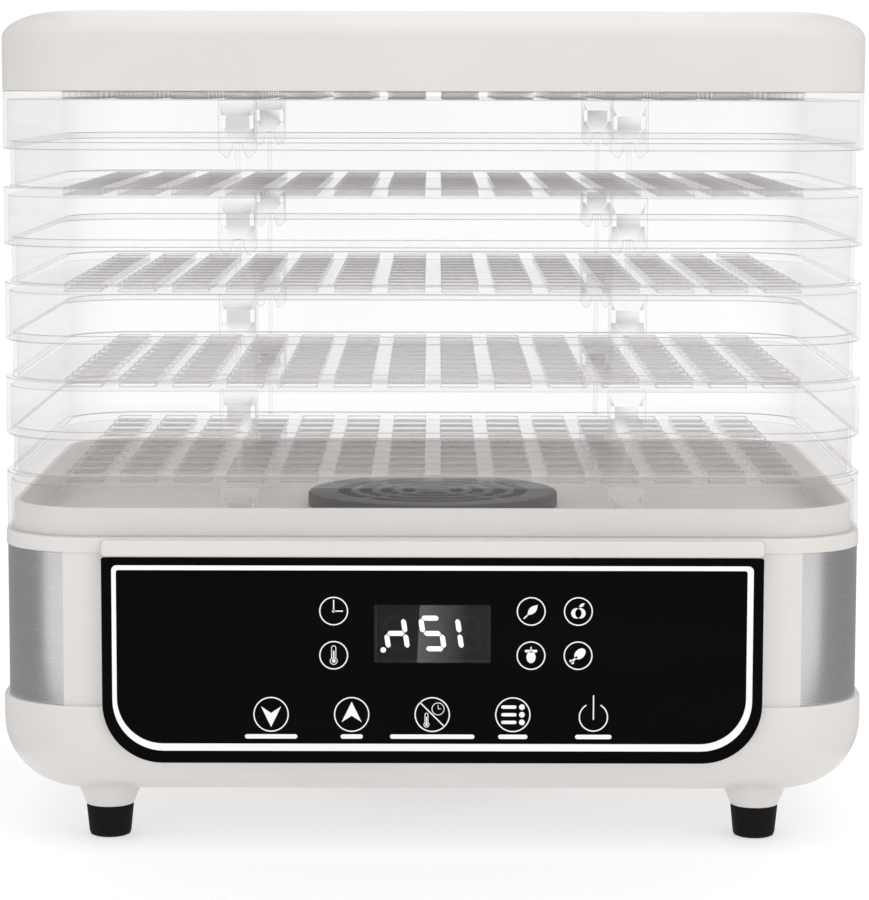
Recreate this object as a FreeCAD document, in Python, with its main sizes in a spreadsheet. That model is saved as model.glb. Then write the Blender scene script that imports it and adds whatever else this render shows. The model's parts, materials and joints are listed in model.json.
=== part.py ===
import FreeCAD, Part
import math
import os
import re

import Sketcher

# Food dehydrator with five stacking trays.  Millimetres, +Z up, the control panel faces -Y.
# The origin is on the surface it stands on, under the middle of the stack.

doc = FreeCAD.newDocument("food_dehydrator")

SIZES = {
    # stack
    "tray_width": 331,
    "tray_depth": 252,
    "tray_corner": 34,
    "tray_pitch": 36.55,
    "step_inset": 2.7,
    "clear_wall": 1.6,
    "floor_thick": 3.2,
    "collar_height": 17.4,
    "skirt_drop": 19,
    # floor lattice
    "slot_columns": 14,
    "slot_rows": 11,
    "lattice_side": 21.3,
    "lattice_front": 12.7,
    "bar_width": 6.7,
    # hanging clips and the ribs they straddle
    "clip_spread": 73.7,
    "clip_width": 14.6,
    "clip_drop": 21.7,
    "clip_thick": 1.6,
    "clip_gap": 0.9,
    "clip_round": 2.6,
    "notch_width": 3.4,
    "notch_mouth": 7,
    "window_width": 1.7,
    "window_height": 5,
    "window_spread": 5.3,
    "window_drop": 8.4,
    "rib_width": 1.9,
    "rib_depth": 3.2,
    # lid
    "lid_height": 30.4,
    "lid_wall": 2.2,
    "lid_edge_across": 15,
    "lid_edge_down": 7,
    "lid_edge_round": 9,
    "vent_length": 70,
    "vent_width": 3,
    "vent_pitch": 8,
    "vent_count": 9,
    # base
    "foot_height": 12.5,
    "stub_height": 7.9,
    "lower_height": 36.5,
    "body_grow": 2,
    "bottom_round": 27,
    "base_wall": 2.4,
    "upper_wall": 2.2,
    "band_thick": 0.8,
    "band_height": 59.1,
    "band_start": 16,
    "band_rear": 36,
    "rim_height": 5.9,
    "rim_proud": 0.5,
    "base_collar": 11,
    "deck_wall": 2,
    "deck_thick": 2.5,
    "seat_rise": 3.35,
    # feet
    "foot_spread": 126.5,
    "foot_reach": 95,
    "foot_top": 18.5,
    "foot_bottom": 16.5,
    "stub_top": 24.9,
    "peg_width": 8,
    "peg_height": 5,
    "fit_gap": 0.05,
    # front
    "panel_width": 251.5,
    "panel_low": 35.7,
    "panel_high": 114.8,
    "panel_corner": 23,
    "panel_thick": 1.4,
    "front_reach": 4.5,
    "lip_high": 121.4,
    "fascia_thick": 2.2,
    "fascia_deep": 18,
    "fascia_gap": 0.15,
    "screen_width": 44,
    "screen_height": 22.2,
    "screen_mid": 85.7,
    "screen_gap": 0.1,
    "digit_block": 8.4,
    "board_width": 150,
    "board_high": 62,
    "board_mid": 75,
    "board_thick": 1.6,
    "board_gap": 6.4,
    "board_hole": 2.6,
    "key_pitch": 30.7,
    "key_level": 54.65,
    "key_hole": 14,
    "spring_width": 9,
    "spring_wire": 0.8,
    "spring_pitch": 1.7,
    "lamp_near": 37.5,
    "lamp_far": 55.4,
    "lamp_high": 94.5,
    "lamp_low": 77.5,
    "lamp_width": 5,
    # air path
    "duct_width": 104,
    "duct_wall": 1,
    "duct_low": 56,
    "duct_flange": 122,
    "flange_thick": 1.2,
    "ring_drop": 6.5,
    "deck_hole": 86,
    "guard_width": 104,
    "guard_height": 6,
    "guard_top": 2,
    "guard_wall": 2.5,
    "guard_screw": 46.5,
    "duct_screw": 56.8,
    "intake_width": 100,
    "grille_flange": 108,
    "spoke_slots": 24,
    # fan
    "bracket_low": 34,
    "bracket_thick": 1.5,
    "bracket_width": 56,
    "bracket_reach": 58,
    "arm_width": 10,
    "motor_width": 52,
    "motor_height": 18.5,
    "cap_height": 4.5,
    "shaft_width": 4,
    "shaft_length": 37,
    "shaft_low": 38,
    "hub_width": 30,
    "hub_height": 14,
    "hub_low": 60,
    "blade_count": 7,
    "fan_radius": 47.5,
    # heater
    "mica_low": 78,
    "mica_high": 106,
    "mica_foot": 3,
    "mica_half": 34,
    "mica_thick": 1,
    "coil_wire": 2.4,
    "coil_thick": 1.2,
    "coil_pitch": 6.5,
    "coil_rise": 19.5,
    "coil_low": 84.5,
    # electrics
    "power_across": 65,
    "power_deep": 90,
    "power_side": 117.5,
    "power_level": 42,
    "post_width": 7,
    "post_across": 53,
    "post_deep": 76,
    "gland_side": 100,
    "gland_level": 70,
    "gland_flange": 18,
    "gland_neck": 12,
    "gland_bore": 7,
    # fixings
    "boss_side": 120,
    "boss_reach": 60,
    "boss_width": 10,
    "boss_split": 80,
    "bore_low": 66,
    "screw_width": 4,
    "screw_head": 8,
    "small_screw": 2.5,
    "small_head": 5,
    "gap_any": 0.1,
}

sheet = doc.addObject("Spreadsheet::Sheet", "Sizes")
for row, (alias, size) in enumerate(SIZES.items(), start=1):
    sheet.set("A%d" % row, alias)
    sheet.set("B%d" % row, str(size))
    sheet.setAlias("B%d" % row, alias)
doc.recompute()

# Levels above the surface it stands on.
BODY_LOW = "(foot_height + stub_height)"
LEDGE = "(foot_height + stub_height + lower_height)"
BAND_TOP = "(foot_height + stub_height + lower_height + band_height)"
SHOULDER = "(foot_height + stub_height + lower_height + band_height + rim_height)"
DECK_TOP = "(foot_height + stub_height + lower_height + band_height + deck_thick)"
SEAT = "(foot_height + stub_height + lower_height + band_height + rim_height + seat_rise)"
RIB_TOP = "(floor_thick + collar_height)"
WEB_DROP = "(tray_pitch - floor_thick - collar_height)"
COLLAR_INSIDE = "(tray_depth/2 - step_inset - clear_wall)"
INNER_HALF_WIDTH = "(tray_width/2 - band_thick - upper_wall)"
INNER_HALF_DEPTH = "(tray_depth/2 - band_thick - upper_wall)"
FRONT = "(tray_depth/2 + front_reach)"
PANEL_BACK = "(tray_depth/2 + front_reach - panel_thick)"
FASCIA_BACK = "(tray_depth/2 + front_reach - panel_thick - fascia_thick)"
BOARD_FACE = "(tray_depth/2 + front_reach - panel_thick - fascia_thick - board_gap)"
TRAYS = 5


def bound(text):
    """The expression with each size named as a cell of the sheet."""
    return re.sub(r"\b[a-z][a-z_]*\b(?!\()", lambda found: "Sizes." + found.group(0), text)


def val(text):
    """The present value of an expression."""
    return float(sheet.evalExpression(bound(text)))


def link(thing, path, text):
    thing.setExpression(path, bound(text))


def new_body(label, east="0", north="0", up="0", turn=None):
    """An empty body at a place given by three expressions."""
    body = doc.addObject("PartDesign::Body", label)
    body.Label = label
    body.AllowCompound = True
    if turn is not None:
        body.Placement = FreeCAD.Placement(FreeCAD.Vector(0, 0, 0), turn)
    link(body, ".Placement.Base.x", east)
    link(body, ".Placement.Base.y", north)
    link(body, ".Placement.Base.z", up)
    return body


def datum(body, role):
    return next(item for item in body.Origin.OriginFeatures if item.Role == role)


def new_sketch(body, name, plane="XY_Plane", level="0"):
    sketch = body.newObject("Sketcher::SketchObject", name)
    sketch.AttachmentSupport = [(datum(body, plane), "")]
    sketch.MapMode = "FlatFace"
    link(sketch, ".AttachmentOffset.Base.z", level)
    return sketch


def pin(sketch, curve, point, across, up):
    """Holds a point of a curve at a distance from the sketch's origin."""
    for kind, text in (("DistanceX", across), ("DistanceY", up)):
        number = sketch.addConstraint(Sketcher.Constraint(kind, -1, 1, curve, point, val(text)))
        link(sketch, "Constraints[%d]" % number, text)


def circle(sketch, across, up, width):
    middle = FreeCAD.Vector(val(across), val(up), 0)
    normal = FreeCAD.Vector(0, 0, 1)
    curve = sketch.addGeometry(Part.Circle(middle, normal, val(width) / 2), False)
    pin(sketch, curve, 3, across, up)
    number = sketch.addConstraint(Sketcher.Constraint("Diameter", curve, val(width)))
    link(sketch, "Constraints[%d]" % number, width)


def polygon(sketch, corners):
    """A closed outline of straight lines through corners given as pairs of expressions."""
    points = [FreeCAD.Vector(val(across), val(up), 0) for across, up in corners]
    first = sketch.GeometryCount
    count = len(points)
    for start, end in zip(points, points[1:] + points[:1]):
        sketch.addGeometry(Part.LineSegment(start, end), False)
    for index, (across, up) in enumerate(corners):
        following = first + (index + 1) % count
        sketch.addConstraint(Sketcher.Constraint("Coincident", first + index, 2, following, 1))
        pin(sketch, first + index, 1, across, up)


def unit(number):
    return 0 if abs(number) < 1e-6 else int(math.copysign(1, number))


def rounded(sketch, corners):
    """A closed anticlockwise outline of square corners, each with its own radius or "0"."""
    points = [(val(across), val(up)) for across, up, radius in corners]
    count = len(points)
    joints = []
    for index, (across, up, radius) in enumerate(corners):
        before = points[index - 1]
        here = points[index]
        after = points[(index + 1) % count]
        come = (unit(here[0] - before[0]), unit(here[1] - before[1]))
        go = (unit(after[0] - here[0]), unit(after[1] - here[1]))
        if radius == "0":
            joints.append([(across, up)])
            continue
        spot = (across, up)
        start = tuple("%s - (%d)*(%s)" % (text, way, radius) for text, way in zip(spot, come))
        end = tuple("%s + (%d)*(%s)" % (text, way, radius) for text, way in zip(spot, go))
        middle = [val(start[axis]) + go[axis] * val(radius) for axis in (0, 1)]
        joints.append([start, end, middle, radius, come])
    lines = []
    for index, joint in enumerate(joints):
        leave = joint[1] if len(joint) > 1 else joint[0]
        reach = joints[(index + 1) % count][0]
        start = FreeCAD.Vector(val(leave[0]), val(leave[1]), 0)
        end = FreeCAD.Vector(val(reach[0]), val(reach[1]), 0)
        line = sketch.addGeometry(Part.LineSegment(start, end), False)
        pin(sketch, line, 1, *leave)
        if len(joints[(index + 1) % count]) > 1:
            pin(sketch, line, 2, *reach)
        lines.append(line)
    for index, joint in enumerate(joints):
        if len(joint) == 1:
            pair = (lines[index - 1], 2, lines[index], 1)
            sketch.addConstraint(Sketcher.Constraint("Coincident", *pair))
            continue
        middle = FreeCAD.Vector(joint[2][0], joint[2][1], 0)
        come = joint[4]
        begin = math.atan2(-come[0], come[1])
        ring = Part.Circle(middle, FreeCAD.Vector(0, 0, 1), val(joint[3]))
        arc = sketch.addGeometry(Part.ArcOfCircle(ring, begin, begin + math.pi / 2), False)
        sketch.addConstraint(Sketcher.Constraint("Coincident", arc, 1, lines[index - 1], 2))
        sketch.addConstraint(Sketcher.Constraint("Coincident", arc, 2, lines[index], 1))
        number = sketch.addConstraint(Sketcher.Constraint("Radius", arc, val(joint[3])))
        link(sketch, "Constraints[%d]" % number, joint[3])


def round_rectangle(sketch, width, depth, radius, across="0", up="0"):
    left, right = "%s - (%s)/2" % (across, width), "%s + (%s)/2" % (across, width)
    low, high = "%s - (%s)/2" % (up, depth), "%s + (%s)/2" % (up, depth)
    spots = [(left, low), (right, low), (right, high), (left, high)]
    rounded(sketch, [(east, north, radius) for east, north in spots])


def rectangle(sketch, width, depth, across="0", up="0"):
    round_rectangle(sketch, width, depth, "0", across, up)


def sweep(body, kind, sketch, length, back=False):
    feature = body.newObject("PartDesign::" + kind, sketch.Name + "_" + kind.lower())
    feature.Profile = sketch
    feature.Length = val(length)
    link(feature, "Length", length)
    feature.Reversed = back
    sketch.Visibility = False
    return feature


def pad(body, sketch, length, back=False):
    return sweep(body, "Pad", sketch, length, back)


def pocket(body, sketch, length, back=False):
    """A cut that has to take something away."""
    doc.recompute()
    before = body.Shape.Volume
    feature = sweep(body, "Pocket", sketch, length, back)
    doc.recompute()
    if not body.Shape.Volume < before - 1e-3:
        raise RuntimeError("%s cuts nothing" % feature.Name)
    return feature


def turned(body, sketch, kind="Revolution", axis="V_Axis"):
    feature = body.newObject("PartDesign::" + kind, sketch.Name + "_turned")
    feature.Profile = sketch
    feature.ReferenceAxis = (sketch, [axis])
    feature.Angle = 360
    sketch.Visibility = False
    return feature


def around(body, feature, count, name):
    """The feature repeated evenly round the body's Z axis."""
    pattern = body.newObject("PartDesign::PolarPattern", name)
    pattern.Originals = [feature]
    pattern.Axis = (datum(body, "Z_Axis"), [""])
    pattern.Angle = 360
    pattern.Occurrences = int(val(count))
    link(pattern, "Occurrences", count)
    body.Tip = pattern
    return pattern


def grid(body, feature, name, steps):
    """The feature repeated in rows; each step is an axis, a whole length and a count."""
    multi = body.newObject("PartDesign::MultiTransform", name)
    multi.Originals = [feature]
    rows = []
    for index, (axis, length, count) in enumerate(steps):
        row = body.newObject("PartDesign::LinearPattern", "%s_row%d" % (name, index))
        row.Direction = (datum(body, axis), [""])
        row.Length = val(length)
        link(row, "Length", length)
        row.Occurrences = int(val(count))
        link(row, "Occurrences", count)
        rows.append(row)
    multi.Transformations = rows
    body.Tip = multi
    return multi


def edges(feature, wanted):
    doc.recompute()
    return ["Edge%d" % number for number, edge in enumerate(feature.Shape.Edges, start=1) if wanted(edge)]


def at_level(edge, level):
    return all(abs(vertex.Z - level) < 1e-4 for vertex in edge.Vertexes) and edge.BoundBox.ZLength < 1e-3


def soften(body, feature, names, radius, kind="Fillet"):
    name = "%s_%s%d" % (body.Name, kind.lower(), len(body.Group))
    dress = body.newObject("PartDesign::" + kind, name)
    dress.Base = (feature, names)
    if kind == "Fillet":
        dress.Radius = val(radius)
        link(dress, "Radius", radius)
    else:
        dress.Size = val(radius)
        link(dress, "Size", radius)
    return dress


def plain_box(label, across, deep, tall, east, north, up):
    """A box whose middle stands at a place, its bottom at a level."""
    box = doc.addObject("Part::Box", label)
    box.Label = label
    for path, text in (("Length", across), ("Width", deep), ("Height", tall)):
        link(box, path, text)
    link(box, ".Placement.Base.x", "%s - (%s)/2" % (east, across))
    link(box, ".Placement.Base.y", "%s - (%s)/2" % (north, deep))
    link(box, ".Placement.Base.z", up)
    return box


def screws(label, spots, level, head, shank, long, up=True):
    """Screws with a round head at a level and a plain shank, standing at spots round their body."""
    body = new_body(label, up=level)
    heads = new_sketch(body, label + "_heads")
    shanks = new_sketch(body, label + "_shanks")
    for across, north in spots:
        circle(heads, across, north, head)
        circle(shanks, across, north, shank)
    pad(body, heads, "0.45*(%s)" % head, back=up)
    pad(body, shanks, long, back=not up)
    doc.recompute()
    rim = "0.45*(%s)" % head
    far = -val(rim) if up else val(rim)
    tip = body.Tip
    soften(body, tip, edges(tip, lambda edge: at_level(edge, far)), "0.18*(%s)" % head)
    return body


def make_tray(label):
    """One clear moulding: lattice floor, skirt, collar, ribs and hanging clips."""
    body = new_body(label)
    plate = new_sketch(body, "plate")
    round_rectangle(plate, "tray_width", "tray_depth", "tray_corner")
    pad(body, plate, "floor_thick")
    skirt = new_sketch(body, "skirt")
    round_rectangle(skirt, "tray_width", "tray_depth", "tray_corner")
    inner = "tray_corner - clear_wall"
    round_rectangle(skirt, "tray_width - 2*clear_wall", "tray_depth - 2*clear_wall", inner)
    pad(body, skirt, "skirt_drop", back=True)
    collar = new_sketch(body, "collar", level="floor_thick")
    outer = ("tray_width - 2*step_inset", "tray_depth - 2*step_inset", "tray_corner - step_inset")
    round_rectangle(collar, *outer)
    round_rectangle(collar, *["%s - %s*clear_wall" % pair for pair in zip(outer, "221")])
    pad(body, collar, "collar_height")
    for side in ("-", ""):
        for face in ("-", ""):
            add_clip(body, side, face)
            add_rib(body, side, face)
    add_lattice(body)
    return body


def add_clip(body, side, face):
    """A plate hanging inside the collar below, notched to straddle its rib."""
    middle = side + "clip_spread"
    name = "clip_%s%s" % ("w" if side else "e", "s" if face else "n")
    outside = COLLAR_INSIDE + " - clip_gap"
    sketch = new_sketch(body, name, "XZ_Plane", outside if face else "clip_thick - (%s)" % outside)
    half = "clip_width/2"
    shape = [
        (half, "0"),
        ("-" + half, "0"),
        ("-" + half, "clip_round - clip_drop"),
        ("clip_round - " + half, "-clip_drop"),
        ("-notch_mouth/2", "-clip_drop"),
        ("-notch_width/2", "-" + WEB_DROP + " - 2"),
        ("-notch_width/2", "-" + WEB_DROP),
        ("notch_width/2", "-" + WEB_DROP),
        ("notch_width/2", "-" + WEB_DROP + " - 2"),
        ("notch_mouth/2", "-clip_drop"),
        (half + " - clip_round", "-clip_drop"),
        (half, "clip_round - clip_drop"),
    ]
    polygon(sketch, [("%s + (%s)" % (middle, across), up) for across, up in shape])
    for way in ("-", "+"):
        spot = "%s %s window_spread" % (middle, way)
        rectangle(sketch, "window_width", "window_height", spot, "-window_drop")
    pad(body, sketch, "clip_thick", back=True)


def add_rib(body, side, face):
    name = "rib_%s%s" % ("w" if side else "e", "s" if face else "n")
    sketch = new_sketch(body, name, level="floor_thick")
    reach = COLLAR_INSIDE + " + 0.3"
    north = "%s(%s - (rib_depth + 0.3)/2)" % (face, reach)
    rectangle(sketch, "rib_width", "rib_depth + 0.3", side + "clip_spread", north)
    pad(body, sketch, "collar_height")


def add_lattice(body):
    """Square openings in rows and columns through the floor."""
    step_across = "((tray_width - 2*lattice_side)/slot_columns)"
    step_deep = "((tray_depth - 2*lattice_front)/slot_rows)"
    sketch = new_sketch(body, "slot")
    west = "-%s*(slot_columns - 1)/2" % step_across
    south = "-%s*(slot_rows - 1)/2" % step_deep
    rectangle(sketch, step_across + " - bar_width", step_deep + " - bar_width", west, south)
    slot = pocket(body, sketch, "floor_thick", back=True)
    steps = [
        ("X_Axis", "%s*(slot_columns - 1)" % step_across, "slot_columns"),
        ("Y_Axis", "%s*(slot_rows - 1)" % step_deep, "slot_rows"),
    ]
    grid(body, slot, "lattice", steps)


def copy_tray(first, label):
    """Another tray from the same mould."""
    body = doc.addObject("PartDesign::Body", label)
    body.Label = label
    clone = body.newObject("PartDesign::FeatureBase", label + "_mould")
    clone.BaseFeature = first
    body.Tip = clone
    return body


def make_lid():
    """A shallow hollow lid that stands on the top tray's step, with vent slots in the middle."""
    level = "%s + %s + %d*tray_pitch + floor_thick" % (SEAT, WEB_DROP, TRAYS - 1)
    body = new_body("lid", up=level)
    block = new_sketch(body, "lid_outline")
    round_rectangle(block, "tray_width", "tray_depth", "tray_corner")
    solid = pad(body, block, "lid_height")
    top = edges(solid, lambda edge: at_level(edge, val("lid_height")))
    slope = body.newObject("PartDesign::Chamfer", "lid_slope")
    slope.Base = (solid, top)
    slope.ChamferType = "Two distances"
    slope.Size = val("lid_edge_down")
    slope.Size2 = val("lid_edge_across")
    link(slope, "Size", "lid_edge_down")
    link(slope, "Size2", "lid_edge_across")
    doc.recompute()
    low = val("lid_height - lid_edge_down")
    if not edges(slope, lambda edge: at_level(edge, low)):
        link(slope, "Size", "lid_edge_across")
        link(slope, "Size2", "lid_edge_down")
    crease = edges(slope, lambda edge: at_level(edge, low) or at_level(edge, val("lid_height")))
    soft = soften(body, slope, crease, "lid_edge_round")
    doc.recompute()
    shell = body.newObject("PartDesign::Thickness", "lid_hollow")
    under = next(
        "Face%d" % number
        for number, face in enumerate(soft.Shape.Faces, start=1)
        if abs(face.BoundBox.ZMax) < 1e-6
    )
    shell.Base = (soft, [under])
    shell.Value = val("lid_wall")
    link(shell, "Value", "lid_wall")
    shell.Reversed = True
    shell.Join = 1
    doc.recompute()
    vents = new_sketch(body, "vent", level="lid_height + 1")
    rectangle(vents, "vent_length", "vent_width", "0", "-vent_pitch*(vent_count - 1)/2")
    slot = pocket(body, vents, "lid_wall + 3")
    grid(body, slot, "vents", [("Y_Axis", "vent_pitch*(vent_count - 1)", "vent_count")])
    return body


def corner_band(sketch, side, inside, outside):
    """The plan of a strip that wraps a front corner and runs back along one side."""
    turn = "" if side > 0 else "-"
    east = "(tray_width/2 - tray_corner)"
    north = "-(tray_depth/2 - tray_corner)"
    rear = "(tray_depth/2 - band_rear)"

    def spot(radius):
        return (
            "%s(%s + (%s)*sin(band_start))" % (turn, east, radius),
            "%s - (%s)*cos(band_start)" % (north, radius),
        )

    ends = {}
    for name, inset in (("out", outside), ("in", inside)):
        radius = "tray_corner - (%s)" % inset
        edge = "%s(tray_width/2 - (%s))" % (turn, inset)
        middle = FreeCAD.Vector(side * val(east), val(north), 0)
        ring = Part.Circle(middle, FreeCAD.Vector(0, 0, 1), val(radius))
        start = math.radians(val("band_start") - 90)
        span = (start, 0.0) if side > 0 else (math.pi, math.pi - start)
        arc = sketch.addGeometry(Part.ArcOfCircle(ring, *span), False)
        front, back = (1, 2) if side > 0 else (2, 1)
        pin(sketch, arc, front, *spot(radius))
        pin(sketch, arc, back, edge, north)
        number = sketch.addConstraint(Sketcher.Constraint("Radius", arc, val(radius)))
        link(sketch, "Constraints[%d]" % number, radius)
        low = FreeCAD.Vector(val(edge), val(north), 0)
        high = FreeCAD.Vector(val(edge), val(rear), 0)
        line = sketch.addGeometry(Part.LineSegment(low, high), False)
        sketch.addConstraint(Sketcher.Constraint("Coincident", line, 1, arc, back))
        pin(sketch, line, 2, edge, rear)
        across, up = spot(radius)
        ends[name] = (arc, front, line, FreeCAD.Vector(val(across), val(up), 0), high)
    for start, piece, point in ((3, 0, None), (4, 2, 2)):
        line = sketch.addGeometry(Part.LineSegment(ends["out"][start], ends["in"][start]), False)
        for tip, name in ((1, "out"), (2, "in")):
            end = ends[name]
            touch = end[1] if point is None else point
            sketch.addConstraint(Sketcher.Constraint("Coincident", line, tip, end[piece], touch))


def make_strip(label, side):
    """A brushed steel strip let into the side of the base."""
    body = new_body(label, up=LEDGE)
    plan = new_sketch(body, label + "_plan")
    corner_band(plan, side, "band_thick", "0")
    pad(body, plan, "band_height")
    return body


def corners(across, deep):
    return [(east + across, north + deep) for east in ("-", "") for north in ("-", "")]


def ring_spots(radius, count, start):
    """Places round a circle, as pairs of expressions."""
    spots = []
    for index in range(count):
        angle = start + index * 360 / count
        spots.append(("(%s)*cos(%g)" % (radius, angle), "(%s)*sin(%g)" % (radius, angle)))
    return spots


def circles(body, name, spots, width, level, plane="XY_Plane"):
    sketch = new_sketch(body, name, plane, level)
    for across, up in spots:
        circle(sketch, across, up, width)
    return sketch


POWER_POSTS = [
    ("-(power_side %s post_across/2)" % side, "%spost_deep/2" % end)
    for side in "+-"
    for end in ("-", "")
]


def make_housing():
    """The white tub of the base with its foot stubs, bosses, strip recesses and front opening."""
    body = new_body("base_housing", up=BODY_LOW)
    lower = new_sketch(body, "lower_outline")
    grown = ("tray_width + 2*body_grow", "tray_depth + 2*body_grow", "tray_corner + body_grow")
    round_rectangle(lower, *grown)
    block = pad(body, lower, "lower_height")
    soft = soften(body, block, edges(block, lambda edge: at_level(edge, 0)), "bottom_round")
    doc.recompute()
    shell = body.newObject("PartDesign::Thickness", "tub_hollow")
    top = next(
        "Face%d" % number
        for number, face in enumerate(soft.Shape.Faces, start=1)
        if face.BoundBox.ZLength < 1e-6 and face.BoundBox.ZMax > 1
    )
    shell.Base = (soft, [top])
    shell.Value = val("base_wall")
    link(shell, "Value", "base_wall")
    shell.Reversed = True
    shell.Join = 1
    doc.recompute()
    inner = ("2*" + INNER_HALF_WIDTH, "2*" + INNER_HALF_DEPTH, "tray_corner - band_thick - upper_wall")
    ledge = new_sketch(body, "ledge", level="lower_height")
    round_rectangle(ledge, *["%s - 1" % text for text in grown[:2]], grown[2] + " - 0.5")
    round_rectangle(ledge, *inner)
    pad(body, ledge, "base_wall", back=True)
    upper = new_sketch(body, "upper", level="lower_height")
    round_rectangle(upper, "tray_width", "tray_depth", "tray_corner")
    round_rectangle(upper, *inner)
    walls = pad(body, upper, "band_height")
    edge_level = val("lower_height")
    wide = val("tray_width/2 + body_grow/2")
    deep = val("tray_depth/2 + body_grow/2")

    def outer_ledge(edge):
        box = edge.BoundBox
        reach_x = max(abs(box.XMin), abs(box.XMax))
        reach_y = max(abs(box.YMin), abs(box.YMax))
        return at_level(edge, edge_level) and (reach_x > wide or reach_y > deep)

    soften(body, walls, edges(walls, outer_ledge), "0.6*body_grow")
    for side, name in ((-1, "left"), (1, "right")):
        recess = new_sketch(body, "recess_" + name, level="lower_height")
        corner_band(recess, side, "band_thick", "-1")
        pocket(body, recess, "band_height", back=True)
    opening = new_sketch(body, "opening", "XZ_Plane", INNER_HALF_DEPTH + " - 20")
    gap = "fascia_gap"
    half = "panel_width/2 + fascia_gap"
    rounded(
        opening,
        [
            ("-(%s)" % half, "panel_low - %s - %s" % (BODY_LOW, gap), "panel_corner + fascia_gap"),
            (half, "panel_low - %s - %s" % (BODY_LOW, gap), "panel_corner + fascia_gap"),
            (half, "lower_height + band_height + 5", "0"),
            ("-(%s)" % half, "lower_height + band_height + 5", "0"),
        ],
    )
    pocket(body, opening, "40", back=True)
    add_stubs(body)
    bosses = circles(body, "bosses", corners("boss_side", "boss_reach"), "boss_width", "base_wall/2")
    pad(body, bosses, "boss_split - %s - base_wall/2" % BODY_LOW)
    posts = circles(body, "posts", POWER_POSTS, "post_width", "base_wall*0.6")
    pad(body, posts, "power_level - %s - base_wall*0.6" % BODY_LOW)
    stands = circles(body, "stands", ring_spots("bracket_reach", 3, 90), "post_width", "base_wall/2")
    pad(body, stands, "bracket_low - %s - base_wall/2" % BODY_LOW)
    heads = circles(body, "head_bores", corners("boss_side", "boss_reach"), "screw_head + 0.4", "0")
    pocket(body, heads, "bore_low - %s" % BODY_LOW, back=True)
    bores = circles(body, "screw_bores", corners("boss_side", "boss_reach"), "screw_width + 0.4", "0")
    pocket(body, bores, "boss_split - %s + 1" % BODY_LOW, back=True)
    post_top = "power_level - %s" % BODY_LOW
    pilots = circles(body, "post_bores", POWER_POSTS, "small_screw + gap_any", post_top)
    pocket(body, pilots, "12")
    low_pilots = ring_spots("bracket_reach", 3, 90)
    stand_top = "bracket_low - %s" % BODY_LOW
    stand_bores = circles(body, "stand_bores", low_pilots, "small_screw + gap_any", stand_top)
    pocket(body, stand_bores, "8.5")
    intake = circles(body, "intake", [("0", "0")], "intake_width", "0")
    pocket(body, intake, "base_wall + 1", back=True)
    way_out = new_sketch(body, "gland_hole", "XZ_Plane", "-%s + 2" % INNER_HALF_DEPTH)
    circle(way_out, "gland_side", "gland_level - %s" % BODY_LOW, "gland_neck + 2*fit_gap")
    pocket(body, way_out, "12")
    return body


def add_stubs(body):
    """Conical stubs under the corners, each bored for a foot's peg."""
    sketch = circles(body, "stubs", corners("foot_spread", "foot_reach"), "stub_top", "0")
    stubs = pad(body, sketch, "stub_height", back=True)
    taper = "-atan((stub_top - foot_top)/(2*stub_height))"
    stubs.TaperAngle = val(taper)
    link(stubs, "TaperAngle", taper)
    sockets = corners("foot_spread", "foot_reach")
    holes = circles(body, "peg_holes", sockets, "peg_width + 2*fit_gap", "-stub_height")
    pocket(body, holes, "peg_height + 0.4", back=True)


def make_foot(label, east, north):
    """A rubber foot turned from one profile, with a peg on top."""
    body = new_body(label, east, north)
    profile = new_sketch(body, label + "_profile", "XZ_Plane")
    shape = [
        ("0", "0"),
        ("foot_bottom/2 - 1.6", "0"),
        ("foot_bottom/2 - 0.4", "0.5"),
        ("foot_bottom/2", "1.7"),
        ("foot_top/2", "foot_height - 0.8"),
        ("foot_top/2 - 0.4", "foot_height"),
        ("peg_width/2", "foot_height"),
        ("peg_width/2", "foot_height + peg_height"),
        ("0", "foot_height + peg_height"),
    ]
    polygon(profile, shape)
    turned(body, profile)
    return body


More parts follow.
